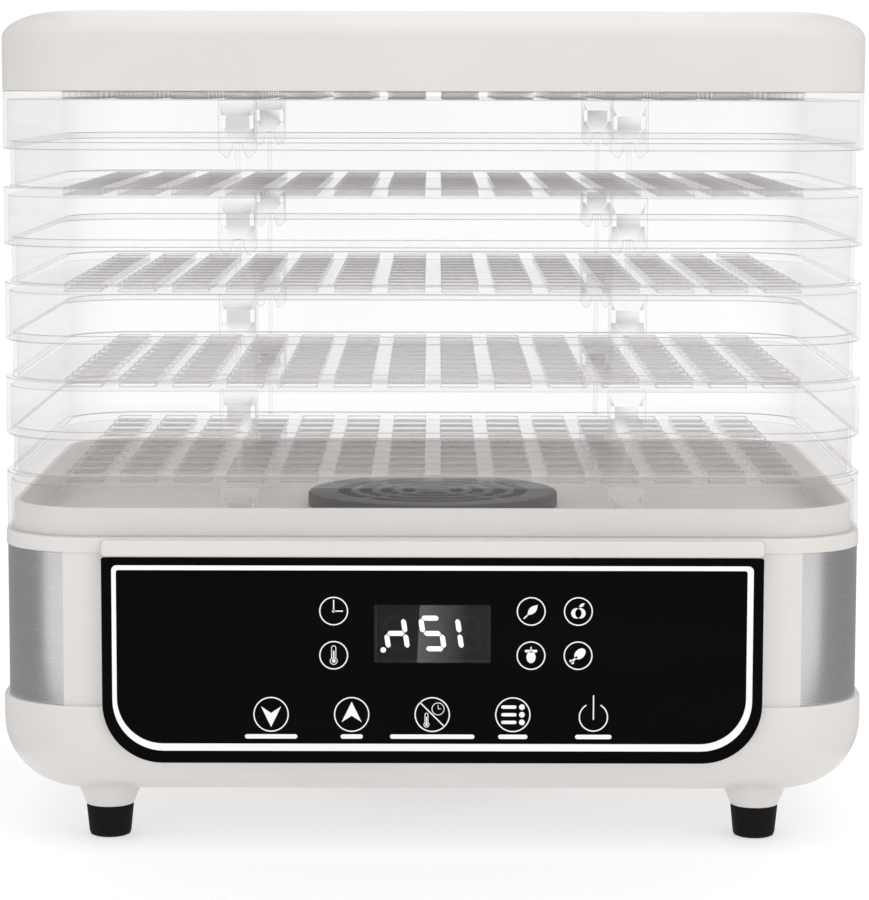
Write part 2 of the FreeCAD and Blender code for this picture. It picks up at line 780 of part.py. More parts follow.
def make_deck():
    """The white top of the base: rim, collar round the trays' foot, deck plate and clip seats."""
    body = new_body("deck", up=BAND_TOP)
    rim = new_sketch(body, "rim")
    rim_size = ("tray_width + 2*rim_proud", "tray_depth + 2*rim_proud", "tray_corner + rim_proud")
    inner = (
        "tray_width - 2*step_inset - 2*deck_wall",
        "tray_depth - 2*step_inset - 2*deck_wall",
        "tray_corner - step_inset - deck_wall",
    )
    round_rectangle(rim, *rim_size)
    round_rectangle(rim, *inner)
    edge = pad(body, rim, "rim_height")
    high, far = val("rim_height"), val("tray_depth/2")
    lip = edges(edge, lambda item: at_level(item, high) and reach(item) > far)
    soften(body, edge, lip, "rim_proud*2")
    collar = new_sketch(body, "base_collar_plan", level="rim_height")
    outer = ("tray_width - 2*step_inset", "tray_depth - 2*step_inset", "tray_corner - step_inset")
    round_rectangle(collar, *outer)
    round_rectangle(collar, *inner)
    pad(body, collar, "base_collar")
    plate = new_sketch(body, "deck_plate")
    round_rectangle(plate, *["%s + 1" % text for text in inner])
    circle(plate, "0", "0", "deck_hole")
    pad(body, plate, "deck_thick")
    ring = new_sketch(body, "duct_ring")
    circle(ring, "0", "0", "duct_flange")
    circle(ring, "0", "0", "duct_width + 0.6")
    pad(body, ring, "ring_drop", back=True)
    for index, (side, face) in enumerate(corners("", "")):
        seat = new_sketch(body, "seat_%d" % index, level="deck_thick")
        inside = "(tray_depth/2 - step_inset - deck_wall)"
        north = "%s(%s + 0.3 - (rib_depth + 0.3)/2)" % (face, inside)
        rectangle(seat, "rib_width", "rib_depth + 0.3", side + "clip_spread", north)
        pad(body, seat, "rim_height + seat_rise - deck_thick")
    bosses = circles(body, "deck_bosses", corners("boss_side", "boss_reach"), "boss_width", "0")
    pad(body, bosses, "%s - boss_split" % BAND_TOP, back=True)
    below = "boss_split - %s" % BAND_TOP
    pilots = circles(body, "pilots", corners("boss_side", "boss_reach"), "screw_width + gap_any", below)
    pocket(body, pilots, "20", back=True)
    guard_spots = ring_spots("guard_screw", 4, 45)
    guard_holes = circles(body, "guard_holes", guard_spots, "small_screw + 0.3", "0")
    pocket(body, guard_holes, "deck_thick + 1", back=True)
    duct_spots = ring_spots("duct_screw", 3, 0)
    duct_holes = circles(body, "duct_holes", duct_spots, "small_screw + gap_any", "-ring_drop")
    pocket(body, duct_holes, "ring_drop", back=True)
    probe = circles(body, "probe_hole", [("0", "-78")], "5.2", "0")
    pocket(body, probe, "deck_thick + 1", back=True)
    return body


def reach(edge):
    box = edge.BoundBox
    return max(abs(box.YMin), abs(box.YMax), abs(box.XMin), abs(box.XMax))


def front_outline(sketch, low, high, grow="0"):
    """The panel's outline: square above, rounded below."""
    half = "(panel_width/2 + %s)" % grow
    radius = "(panel_corner + %s)" % grow
    rounded(
        sketch,
        [
            ("-" + half, "%s - %s" % (low, grow), radius),
            (half, "%s - %s" % (low, grow), radius),
            (half, "%s + %s" % (high, grow), "0"),
            ("-" + half, "%s + %s" % (high, grow), "0"),
        ],
    )


KEYS = [("%d*key_pitch" % step, "key_level") for step in (-2, -1, 0, 1, 2)]
LAMPS = [("-lamp_near", level) for level in ("lamp_high", "lamp_low")]
LAMPS += [(side, level) for side in ("lamp_near", "lamp_far") for level in ("lamp_high", "lamp_low")]
BOARD_POSTS = [
    (side + "(board_width/2 - 5)", "board_mid %s (board_high/2 - 5)" % way)
    for side in ("-", "")
    for way in "+-"
]


def make_fascia():
    """The white front moulding that carries the panel and the control board."""
    body = new_body("fascia")
    face = new_sketch(body, "fascia_face", "XZ_Plane", FASCIA_BACK)
    front_outline(face, "panel_low", "lip_high")
    slab = pad(body, face, "panel_thick + fascia_thick")
    lip = edges(slab, lambda edge: at_level(edge, val("lip_high")) and reach(edge) > val(FRONT) - 0.01)
    front_lip = [name for name in lip if on_front(slab, name)]
    soften(body, slab, front_lip, "1.2")
    seat = new_sketch(body, "panel_seat", "XZ_Plane", PANEL_BACK)
    rectangle(seat, "panel_width + 4", "panel_high - panel_low + 4", "0", "(panel_high + panel_low - 4)/2")
    pocket(body, seat, "panel_thick + 1", back=True)
    walls = new_sketch(body, "fascia_walls", "XZ_Plane", FASCIA_BACK)
    front_outline(walls, "panel_low", BAND_TOP + " - 0.3")
    front_outline(walls, "panel_low", BAND_TOP + " - 0.3", "(-fascia_thick)")
    pad(body, walls, "fascia_deep", back=True)
    posts = circles(body, "board_posts", BOARD_POSTS, "6", FASCIA_BACK, "XZ_Plane")
    pad(body, posts, "board_gap", back=True)
    pilots = circles(body, "board_pilots", BOARD_POSTS, "board_hole", BOARD_FACE, "XZ_Plane")
    pocket(body, pilots, "board_gap", back=True)
    window = new_sketch(body, "fascia_window", "XZ_Plane", PANEL_BACK)
    rectangle(window, "screen_width + 1", "screen_height + 1", "0", "screen_mid")
    pocket(body, window, "fascia_thick + 1")
    keys = circles(body, "key_holes", KEYS, "key_hole", PANEL_BACK, "XZ_Plane")
    pocket(body, keys, "fascia_thick + 1")
    lamps = circles(body, "lamp_holes", LAMPS, "lamp_width + 1", PANEL_BACK, "XZ_Plane")
    pocket(body, lamps, "fascia_thick + 1")
    return body


def on_front(feature, name):
    box = feature.Shape.getElement(name).BoundBox
    return box.YMax < -val(FRONT) + 0.01 and box.XLength > 50


def make_panel():
    """The black front sheet with the display opening."""
    body = new_body("control_panel")
    face = new_sketch(body, "panel_face", "XZ_Plane", PANEL_BACK)
    front_outline(face, "panel_low", "panel_high")
    rectangle(face, "screen_width + 2*screen_gap", "screen_height + 2*screen_gap", "0", "screen_mid")
    pad(body, face, "panel_thick")
    window = new_body("display_window")
    glass = new_sketch(window, "glass", "XZ_Plane", PANEL_BACK)
    rectangle(glass, "screen_width", "screen_height", "0", "screen_mid")
    pad(window, glass, "panel_thick")
    digits = new_body("led_display")
    block = new_sketch(digits, "block", "XZ_Plane", BOARD_FACE)
    rectangle(block, "screen_width - 2", "screen_height - 2", "0", "screen_mid")
    pad(digits, block, "digit_block")


def make_board():
    """The control board behind the panel, its lamps and the springs under the touch spots."""
    body = new_body("control_board")
    plate = new_sketch(body, "board_plate", "XZ_Plane", BOARD_FACE)
    rectangle(plate, "board_width", "board_high", "0", "board_mid")
    for across, up in BOARD_POSTS:
        circle(plate, across, up, "small_screw + 0.3")
    pad(body, plate, "board_thick", back=True)
    lamps = new_body("indicator_leds")
    stems = circles(lamps, "lamp_stems", LAMPS, "lamp_width", BOARD_FACE, "XZ_Plane")
    stem = pad(lamps, stems, "board_gap + 0.6")
    tips = edges(stem, lambda edge: edge.BoundBox.YMax < -val(BOARD_FACE + " + board_gap"))
    soften(lamps, stem, tips, "lamp_width*0.4")
    first_key = ("-2*key_pitch", "-" + BOARD_FACE, "key_level")
    springs = new_body("touch_springs", *first_key, turn=FORWARD)
    wire = new_sketch(springs, "spring_wire_section", "XZ_Plane")
    circle(wire, "spring_width/2", "spring_wire/2 + gap_any", "spring_wire")
    coil = springs.newObject("PartDesign::AdditiveHelix", "spring_coil")
    coil.Profile = wire
    coil.ReferenceAxis = (wire, ["V_Axis"])
    coil.Mode = 0
    coil.Pitch = val("spring_pitch")
    coil.Height = val("board_gap + fascia_thick - spring_wire - 2*gap_any")
    link(coil, "Pitch", "spring_pitch")
    link(coil, "Height", "board_gap + fascia_thick - spring_wire - 2*gap_any")
    wire.Visibility = False
    grid(springs, coil, "spring_row", [("X_Axis", "4*key_pitch", "5")])
    screws_in = new_body("control_board_screws")
    back = "%s - board_thick" % BOARD_FACE
    heads = circles(screws_in, "board_heads", BOARD_POSTS, "small_head", back, "XZ_Plane")
    pad(screws_in, heads, "1.6", back=True)
    shanks = circles(screws_in, "board_shanks", BOARD_POSTS, "small_screw", back, "XZ_Plane")
    pad(screws_in, shanks, "board_thick + 5")


FORWARD = FreeCAD.Rotation(FreeCAD.Vector(1, 0, 0), 90)
BACKWARD = FreeCAD.Rotation(FreeCAD.Vector(1, 0, 0), -90)


def make_guard():
    """The black ringed grille over the fan."""
    body = new_body("fan_guard", up=DECK_TOP)
    wall = new_sketch(body, "guard_wall_plan")
    circle(wall, "0", "0", "guard_width")
    circle(wall, "0", "0", "guard_width - 2*guard_wall")
    pad(body, wall, "guard_height")
    posts = circles(body, "guard_posts", ring_spots("guard_screw", 4, 45), "7", "0")
    pad(body, posts, "guard_height")
    top = new_sketch(body, "guard_disc", level="guard_height - guard_top")
    circle(top, "0", "0", "guard_width - 1")
    disc = pad(body, top, "guard_top")
    for index in range(4):
        slot = new_sketch(body, "ring_slot_%d" % index, level="guard_height + 1")
        quarter_slot(slot, "guard_width*%g" % (0.075 + 0.085 * index), "guard_width*0.05")
        cut = pocket(body, slot, "guard_top + 1.5")
        around(body, cut, "4", "ring_slots_%d" % index)
        doc.recompute()
    bores = circles(body, "guard_bores", ring_spots("guard_screw", 4, 45), "small_screw + gap_any", "0")
    pocket(body, bores, "guard_height - 2", back=True)
    return body


def quarter_slot(sketch, radius, width):
    """A slot along 78 degrees of a circle about the origin, with square ends."""
    half = 39
    ends = []
    for reach_text in ("(%s)" % radius, "(%s + %s)" % (radius, width)):
        ring = Part.Circle(FreeCAD.Vector(0, 0, 0), FreeCAD.Vector(0, 0, 1), val(reach_text))
        span = (math.radians(-half), math.radians(half))
        arc = sketch.addGeometry(Part.ArcOfCircle(ring, *span), False)
        for point, angle in ((1, -half), (2, half)):
            pin(sketch, arc, point, "%s*cos(%d)" % (reach_text, half), "%s*sin(%d)" % (reach_text, angle))
        number = sketch.addConstraint(Sketcher.Constraint("Radius", arc, val(reach_text)))
        link(sketch, "Constraints[%d]" % number, reach_text)
        far = val(reach_text)
        ends.append((arc, [FreeCAD.Vector(far * math.cos(a), far * math.sin(a), 0) for a in span]))
    for point in (1, 2):
        line = sketch.addGeometry(Part.LineSegment(ends[0][1][point - 1], ends[1][1][point - 1]), False)
        sketch.addConstraint(Sketcher.Constraint("Coincident", line, 1, ends[0][0], point))
        sketch.addConstraint(Sketcher.Constraint("Coincident", line, 2, ends[1][0], point))


def make_grille():
    """The intake grille set into the floor of the base."""
    body = new_body("intake_grille", up=BODY_LOW)
    disc = circles(body, "grille_disc", [("0", "0")], "intake_width - 4*fit_gap", "0")
    pad(body, disc, "base_wall")
    flange = circles(body, "grille_flange_plan", [("0", "0")], "grille_flange", "base_wall")
    pad(body, flange, "1.6")
    slot = new_sketch(body, "spoke_slot")
    rectangle(slot, "intake_width*0.27", "3.4", "intake_width*0.31", "0")
    cut = pocket(body, slot, "base_wall + 3", back=True)
    around(body, cut, "spoke_slots", "spokes")
    return body


def make_duct():
    """The sheet steel tube that leads the air from the fan past the heater."""
    body = new_body("air_duct", up="duct_low")
    tube = new_sketch(body, "tube")
    circle(tube, "0", "0", "duct_width")
    circle(tube, "0", "0", "duct_width - 2*duct_wall")
    pad(body, tube, BAND_TOP + " - duct_low - 0.3")
    flange = new_sketch(body, "flange", level="%s - ring_drop - flange_thick - duct_low" % BAND_TOP)
    circle(flange, "0", "0", "duct_flange")
    circle(flange, "0", "0", "duct_width - duct_wall")
    for across, north in ring_spots("duct_screw", 3, 0):
        circle(flange, across, north, "small_screw + 0.3")
    pad(body, flange, "flange_thick")
    return body


def make_heater():
    """Crossed mica plates with the heating coil wound round them."""
    body = new_body("heater_frame", up="mica_low")
    across = "duct_width/2 - duct_wall - 0.1"
    shape = [
        ("-(%s)" % across, "0"),
        (across, "0"),
        (across, "mica_foot"),
        ("mica_half", "mica_foot"),
        ("mica_half", "mica_high - mica_low"),
        ("-mica_half", "mica_high - mica_low"),
        ("-mica_half", "mica_foot"),
        ("-(%s)" % across, "mica_foot"),
    ]
    for plane in ("XZ_Plane", "YZ_Plane"):
        plate = new_sketch(body, "mica_" + plane.lower()[:2], plane, "-mica_thick/2")
        polygon(plate, shape)
        pad(body, plate, "mica_thick")
    coil = new_body("heater_coil", up="coil_low")
    wire = new_sketch(coil, "coil_section", "XZ_Plane")
    rectangle(wire, "coil_thick", "coil_wire", "mica_half + coil_thick/2 + 2*gap_any")
    helix = coil.newObject("PartDesign::AdditiveHelix", "coil_turns")
    helix.Profile = wire
    helix.ReferenceAxis = (wire, ["V_Axis"])
    helix.Mode = 0
    helix.Pitch = val("coil_pitch")
    helix.Height = val("coil_rise")
    link(helix, "Pitch", "coil_pitch")
    link(helix, "Height", "coil_rise")
    wire.Visibility = False


def make_fan():
    """Motor on its bracket, shaft and seven-bladed impeller."""
    bracket = new_body("motor_bracket", up="bracket_low")
    plate = circles(bracket, "bracket_plate", [("0", "0")], "bracket_width", "0")
    pad(bracket, plate, "bracket_thick")
    arm = new_sketch(bracket, "bracket_arm")
    tip, root = "(bracket_reach + 5)", "bracket_width/4"
    rectangle(arm, "arm_width", "%s - %s" % (tip, root), "0", "(%s + %s)/2" % (tip, root))
    leg = pad(bracket, arm, "bracket_thick")
    around(bracket, leg, "3", "bracket_arms")
    holes = circles(bracket, "bracket_holes", ring_spots("bracket_reach", 3, 90), "small_screw + 0.3", "0")
    pocket(bracket, holes, "bracket_thick", back=True)
    motor_low = "(bracket_low + bracket_thick)"
    motor = new_body("fan_motor", up=motor_low)
    can = circles(motor, "can", [("0", "0")], "motor_width", "0")
    drum = pad(motor, can, "motor_height")
    soften(motor, drum, edges(drum, lambda edge: at_level(edge, 0)), "2")
    bore = circles(motor, "motor_bore", [("0", "0")], "shaft_width + 2*fit_gap", "motor_height")
    pocket(motor, bore, "motor_height + %s - shaft_low + 0.5" % motor_low)
    cap = new_body("motor_cap", up=motor_low + " + motor_height")
    lid = circles(cap, "cap_disc", [("0", "0")], "motor_width - 4", "0")
    pad(cap, lid, "cap_height/2")
    neck = circles(cap, "cap_neck", [("0", "0")], "shaft_width*3", "cap_height/2")
    pad(cap, neck, "cap_height/2")
    hole = circles(cap, "cap_bore", [("0", "0")], "shaft_width + 2*fit_gap", "0")
    pocket(cap, hole, "cap_height", back=True)
    shaft = new_body("fan_shaft", up="shaft_low")
    rod = circles(shaft, "rod", [("0", "0")], "shaft_width", "0")
    bar = pad(shaft, rod, "shaft_length")
    ends = edges(bar, lambda edge: at_level(edge, 0) or at_level(edge, val("shaft_length")))
    soften(shaft, bar, ends, "0.4", "Chamfer")
    make_impeller()


def make_impeller():
    body = new_body("fan_impeller", up="hub_low")
    hub = circles(body, "hub", [("0", "0")], "hub_width", "0")
    drum = pad(body, hub, "hub_height")
    soften(body, drum, edges(drum, lambda edge: at_level(edge, val("hub_height"))), "2.5")
    blade = new_sketch(body, "blade", "YZ_Plane", "hub_width/2 - 2")
    shape = [
        ("-hub_width*0.36", "1"),
        ("-hub_width*0.30", "0.6"),
        ("hub_width*0.02", "hub_height*0.42"),
        ("hub_width*0.38", "hub_height - 1.6"),
        ("hub_width*0.34", "hub_height - 1"),
        ("-hub_width*0.03", "hub_height*0.54"),
    ]
    polygon(blade, shape)
    vane = pad(body, blade, "fan_radius - 1.5 - hub_width/2 + 2")
    around(body, vane, "blade_count", "blades")
    bore = circles(body, "hub_bore", [("0", "0")], "shaft_width", "0")
    pocket(body, bore, "shaft_low + shaft_length - hub_low", back=True)
    return body


def make_electrics():
    """Power board with its large components, thermal parts and the cord gland."""
    board = new_body("power_board", east="-power_side", up="power_level")
    plate = new_sketch(board, "power_plate")
    rectangle(plate, "power_across", "power_deep")
    for across, north in corners("post_across/2", "post_deep/2"):
        circle(plate, across, north, "small_screw + 0.3")
    pad(board, plate, "board_thick")
    top = "power_level + board_thick"
    plain_box("transformer", "30", "28", "24", "-power_side - 9", "-17", top)
    plain_box("power_relay", "15", "19", "15", "-power_side + 19", "-10", top)
    plain_box("terminal_block", "14", "22", "12", "-power_side + 18", "19", top)
    can = new_body("power_capacitor", east="-power_side - 14", north="20", up=top)
    drum = pad(can, circles(can, "capacitor_disc", [("0", "0")], "14", "0"), "22")
    soften(can, drum, edges(drum, lambda edge: at_level(edge, 22)), "1.2")
    fuse = new_body("thermal_fuse", east="duct_width/2 + 2.2", up="86")
    tube = pad(fuse, circles(fuse, "fuse_disc", [("0", "0")], "4", "0"), "11")
    soften(fuse, tube, edges(tube, lambda edge: at_level(edge, 0) or at_level(edge, 11)), "0.8")
    probe = new_body("thermistor", north="-78", up=DECK_TOP)
    profile = new_sketch(probe, "probe_profile", "XZ_Plane")
    shape = [
        ("0", "-7"),
        ("2.5", "-7"),
        ("2.5", "0"),
        ("4.2", "0"),
        ("4.2", "1"),
        ("2.2", "1"),
        ("1.6", "4"),
        ("0", "4"),
    ]
    polygon(profile, shape)
    turned(probe, profile)
    wall = "(tray_depth/2)"
    gland = new_body("cord_gland", east="gland_side", north=wall, up="gland_level", turn=BACKWARD)
    section = new_sketch(gland, "gland_section", "XZ_Plane")
    inside = "-(band_thick + upper_wall)"
    shape = [
        ("gland_bore/2", inside + " - 4"),
        ("gland_neck/2 + 2", inside + " - 4"),
        ("gland_neck/2 + 2", inside),
        ("gland_neck/2", inside),
        ("gland_neck/2", "0"),
        ("gland_flange/2", "0"),
        ("gland_flange/2", "1.4"),
        ("gland_flange/2 - 3", "front_reach"),
        ("gland_bore/2", "front_reach"),
    ]
    polygon(section, shape)
    turned(gland, section)


def make_screws():
    bosses = corners("boss_side", "boss_reach")
    screws("housing_screws", bosses, "bore_low", "screw_head", "screw_width", "28")
    under_flange = "%s - ring_drop - flange_thick" % BAND_TOP
    screws("duct_screws", ring_spots("duct_screw", 3, 0), under_flange, "small_head", "small_screw", "6.5")
    guard_long = "deck_thick + guard_height - 2.5"
    rim = ring_spots("guard_screw", 4, 45)
    screws("guard_screws", rim, BAND_TOP, "small_head", "small_screw", guard_long)
    above = "bracket_low + bracket_thick"
    stands = ring_spots("bracket_reach", 3, 90)
    screws("bracket_screws", stands, above, "small_head", "small_screw", "9", up=False)
    over = "power_level + board_thick"
    screws("power_board_screws", POWER_POSTS, over, "small_head", "small_screw", "10", up=False)


tray = make_tray("tray_1")
doc.recompute()
stack = [tray] + [copy_tray(tray, "tray_%d" % (number + 1)) for number in range(1, TRAYS)]
for number, item in enumerate(stack):
    steps = TRAYS - 1 - number
    link(item, ".Placement.Base.z", "%s + %s + %d*tray_pitch" % (SEAT, WEB_DROP, steps))
make_lid()
make_housing()
make_deck()
make_fascia()
make_panel()
make_board()
make_strip("steel_strip_left", -1)
make_strip("steel_strip_right", 1)
make_guard()
make_grille()
make_duct()
make_heater()
make_fan()
make_electrics()
make_screws()
for name, east, north in (
    ("foot_front_left", "-foot_spread", "-foot_reach"),
    ("foot_front_right", "foot_spread", "-foot_reach"),
    ("foot_rear_left", "-foot_spread", "foot_reach"),
    ("foot_rear_right", "foot_spread", "foot_reach"),
):
    make_foot(name, east, north)

doc.recompute()
pieces = [item for item in doc.Objects if item.TypeId in ("PartDesign::Body", "Part::Box")]
for item in doc.Objects:
    if "Invalid" in item.State or "Error" in item.State:
        raise RuntimeError("%s failed: %s" % (item.Name, item.State))
checked = []
for item in pieces:
    shape = item.Shape
    if shape.isNull() or not shape.Solids:
        raise RuntimeError("%s has no solid" % item.Label)
    if any(shape.isPartner(other) for other in checked):
        continue
    if not shape.isValid():
        raise RuntimeError("%s has no valid solid" % item.Label)
    checked.append(shape)

os.makedirs("parts", exist_ok=True)
for item in pieces:
    item.Shape.exportStep("parts/%s.step" % item.Label)
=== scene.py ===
import json
import math

import bmesh
import bpy
import numpy as np
from bpy.props import FloatProperty, FloatVectorProperty, IntProperty, PointerProperty
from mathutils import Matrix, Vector
from mathutils.geometry import delaunay_2d_cdt


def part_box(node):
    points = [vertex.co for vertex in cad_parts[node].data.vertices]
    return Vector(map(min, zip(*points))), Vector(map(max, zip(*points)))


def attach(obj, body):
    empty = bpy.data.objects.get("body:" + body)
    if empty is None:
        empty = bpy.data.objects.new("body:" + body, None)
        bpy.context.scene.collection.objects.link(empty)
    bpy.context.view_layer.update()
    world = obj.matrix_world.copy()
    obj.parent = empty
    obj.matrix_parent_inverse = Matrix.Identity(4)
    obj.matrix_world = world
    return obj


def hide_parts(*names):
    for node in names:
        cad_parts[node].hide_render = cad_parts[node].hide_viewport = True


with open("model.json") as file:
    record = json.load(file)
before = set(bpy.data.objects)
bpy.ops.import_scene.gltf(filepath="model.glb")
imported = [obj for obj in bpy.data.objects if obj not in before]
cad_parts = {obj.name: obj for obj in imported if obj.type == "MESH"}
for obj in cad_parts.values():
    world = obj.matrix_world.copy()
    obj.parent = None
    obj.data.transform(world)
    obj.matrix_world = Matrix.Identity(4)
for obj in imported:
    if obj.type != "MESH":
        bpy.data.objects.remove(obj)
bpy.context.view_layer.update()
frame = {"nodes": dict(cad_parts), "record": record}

# Food dehydrator with five clear stacking trays.  Metres, +Z up, the control panel faces -Y.

bl_info = {
    "name": "Food dehydrator",
    "version": (1, 0, 0),
    "blender": (4, 5, 0),
    "location": "3D View > Sidebar > Dehydrator",
    "description": "Builds the visible pieces of a food dehydrator with stacking trays",
    "category": "Object",
}

MM = 0.001
TRAYS = ("tray_1", "tray_2", "tray_3", "tray_4", "tray_5")
LID_LOW, LID_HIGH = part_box("lid")
RIM_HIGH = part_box("deck")[1]
PANEL_LOW, PANEL_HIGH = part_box("control_panel")
FRONT_LOW, FRONT_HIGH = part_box("fascia")
GLASS_LOW, GLASS_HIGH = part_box("display_window")
STRIP_LOW, STRIP_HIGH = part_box("steel_strip_right")
FOOT_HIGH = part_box("foot_front_right")[1]
HALF_X = LID_HIGH[0]
HALF_Y = LID_HIGH[1]
WELD = 2e-6
SHARP_ANGLE = math.radians(32)
STEEL_THICK = 0.8 * MM
BORE_EAST, BORE_NORTH, BORE_RADIUS = 120 * MM, 60 * MM, 4.2 * MM
SIDES = (-1, 1)
QUADRANTS = tuple((east, north) for east in SIDES for north in SIDES)
PRINT_FACE = -PANEL_LOW[1] - 0.05 * MM


# ---------------------------------------------------------------- sizes and colours

def length(name, about, value):
    return FloatProperty(name=name, description=about, default=value, unit="LENGTH", precision=5)


def colour(name, about, value):
    return FloatVectorProperty(name=name, description=about, default=value, subtype="COLOR", min=0, max=1)


class StackSizes(bpy.types.PropertyGroup):
    corner: length("Corner", "Plan radius of the trays' and lid's corners", 34 * MM)
    step: length("Step", "How far a collar is set in from its skirt", 2.7 * MM)
    wall: length("Wall", "Thickness of the clear walls", 1.6 * MM)
    floor: length("Floor", "Thickness of a tray's floor", 3.2 * MM)
    collar: length("Collar", "Height of a tray's collar above its floor", 17.4 * MM)
    skirt: length("Skirt", "How far a tray's skirt hangs below its floor", 19 * MM)
    columns: IntProperty(name="Columns", description="Openings across a tray", default=14, min=2)
    rows: IntProperty(name="Rows", description="Openings from front to back", default=11, min=2)
    side_margin: length("Side margin", "From a tray's side to the middle of its first bar", 21.3 * MM)
    front_margin: length("Front margin", "From a tray's front to the middle of its first bar", 12.7 * MM)
    bar: length("Bar", "Width of the bars between the openings", 6.7 * MM)
    clip_spread: length("Clip place", "From the middle to a clip's middle", 73.7 * MM)
    clip_width: length("Clip width", "Width of a hanging clip", 14.6 * MM)
    clip_drop: length("Clip drop", "Length of a hanging clip", 21.7 * MM)
    rib: length("Rib", "Width of the rib that a clip straddles", 1.9 * MM)
    rib_depth: length("Rib depth", "How far a rib stands in from its collar", 3.2 * MM)
    lid_wall: length("Lid wall", "Thickness of the lid", 2.2 * MM)
    lid_across: length("Lid edge across", "Width of the lid's rounded edge", 26 * MM)
    lid_down: length("Lid edge down", "Depth of the lid's rounded edge", 10.4 * MM)
    vents: IntProperty(name="Vents", description="Slots in the lid", default=9, min=1)


class BaseSizes(bpy.types.PropertyGroup):
    grow: length("Grow", "How far the tub stands out below the steel strips", 2 * MM)
    bottom_round: length("Bottom round", "Radius round the tub's bottom edge", 27 * MM)
    wall: length("Tub wall", "Thickness of the tub", 2.4 * MM)
    upper_wall: length("Upper wall", "Thickness of the wall behind the steel strips", 2.2 * MM)
    rim: length("Rim", "Height of the white rim over the steel strips", 5.9 * MM)
    rim_proud: length("Rim reach", "How far the rim stands out from the strips", 0.5 * MM)
    deck: length("Deck", "Thickness of the deck plate", 2.5 * MM)
    deck_wall: length("Deck wall", "Thickness of the white collar", 2 * MM)
    band_start: FloatProperty(
        name="Strip start",
        description="Where a steel strip starts round the front corner",
        default=math.radians(16),
        subtype="ANGLE",
    )
    foot_spread: length("Foot spread", "From the middle to a foot, across", 126.5 * MM)
    foot_reach: length("Foot reach", "From the middle to a foot, front to back", 95 * MM)
    stub_top: length("Stub top", "Width of a foot's stub at the tub", 24.9 * MM)
    intake: length("Intake", "Width of the air intake", 100 * MM)


class PanelSizes(bpy.types.PropertyGroup):
    corner: length("Panel corner", "Radius of the panel's lower corners", 23 * MM)
    print_lift: length("Print lift", "Thickness of the printed marks", 0.03 * MM)
    line: length("Line", "Width of the printed rings and lines", 0.46 * MM)
    small_ring: length("Small ring", "Radius of the indicators' rings", 5.5 * MM)
    key_ring: length("Key ring", "Radius of the touch spots' rings", 6.75 * MM)
    key_pitch: length("Key pitch", "From one touch spot to the next", 30.7 * MM)
    key_level: length("Key level", "Height of the touch spots", 54.65 * MM)
    digit_pitch: length("Digit pitch", "From one digit to the next", 13.9 * MM)
    digit_height: length("Digit height", "Between the middles of the outer segments", 11.8 * MM)
    digit_width: length("Digit width", "Between the middles of the upright segments", 7.2 * MM)
    digit_lean: FloatProperty(name="Digit lean", description="Sideways shift per height", default=-0.148)


class Finishes(bpy.types.PropertyGroup):
    white: colour("White", "Body, lid and rim", (0.70, 0.672, 0.648))
    clear: colour("Clear", "Trays", (0.78, 0.75, 0.745))
    black: colour("Black", "Panel", (0.0015, 0.0015, 0.0016))
    steel: colour("Steel", "Side strips", (0.60, 0.595, 0.605))
    printed: colour("Print", "Marks on the panel", (0.9, 0.9, 0.9))
    rubber: colour("Rubber", "Feet", (0.004, 0.004, 0.0043))


class StageSizes(bpy.types.PropertyGroup):
    lens: FloatProperty(name="Lens", description="Focal length in millimetres", default=130)
    camera_place: FloatVectorProperty(
        name="Camera place",
        description="Where the camera stands",
        default=(0.0004, -1.3492, 0.2949),
        subtype="TRANSLATION",
        unit="LENGTH",
    )
    pitch: FloatProperty(
        name="Pitch", description="How far the camera looks down", default=0.1134, subtype="ANGLE"
    )
    roll: FloatProperty(
        name="Roll", description="Turn about the line of sight", default=-0.0019, subtype="ANGLE"
    )
    sky: FloatProperty(name="Surround", description="Strength of the white surround", default=1.0)


# ---------------------------------------------------------------- shapes
# A path is (centres, directions, radii), one row a point: the point at reach d is
# centre + (radius + d) * direction.  A surface is (points, faces); each point has x, y, z and an
# edge value, 1 on a rounded edge and 0 on a flat.

def directions(turn):
    """Unit directions at the given angles."""
    return np.stack([np.cos(turn), np.sin(turn)], axis=-1)


def spun(points, lean, middle):
    """Points turned by an angle and set at a middle."""
    spin = np.array([[math.cos(lean), -math.sin(lean)], [math.sin(lean), math.cos(lean)]])
    return corner_points_path(points @ spin.T + np.asarray(middle))


def corner_path(half_x, half_y, radii, steps=12, middle=(0.0, 0.0)):
    """A rounded rectangle, anticlockwise: corner k turns its direction from 90k to 90k + 90 degrees
    round a centre that lies its radius inside both sides.  Corners start at +X +Y."""
    radii = np.broadcast_to(np.asarray(radii, float), (4,))
    turn = np.linspace(0, math.pi / 2, steps + 1) + np.arange(4)[:, None] * math.pi / 2
    way = directions(turn)
    sign = np.array([[1, 1], [-1, 1], [-1, -1], [1, -1]])
    centre = np.asarray(middle) + sign * (np.array([half_x, half_y]) - radii[:, None])
    core = np.broadcast_to(centre[:, None], way.shape)
    return core.reshape(-1, 2), way.reshape(-1, 2), np.repeat(radii, steps + 1)


def round_path(middle, radius, steps=32):
    """A circle: directions at even angles round one centre."""
    turn = np.arange(steps) * 2 * math.pi / steps
    way = directions(turn)
    return np.tile(np.asarray(middle, float), (steps, 1)), way, np.full(steps, radius)


def capsule_path(start, end, radius, steps=8):
    """A line with round ends: half a circle of directions round each end."""
    start, end = np.asarray(start, float), np.asarray(end, float)
    along = math.atan2(*(end - start)[::-1])
    half = np.linspace(-math.pi / 2, math.pi / 2, steps + 1)
    turn = along + np.concatenate([half, half + math.pi])
    way = directions(turn)
    core = np.concatenate([np.tile(end, (steps + 1, 1)), np.tile(start, (steps + 1, 1))])
    return core, way, np.full(len(turn), radius)


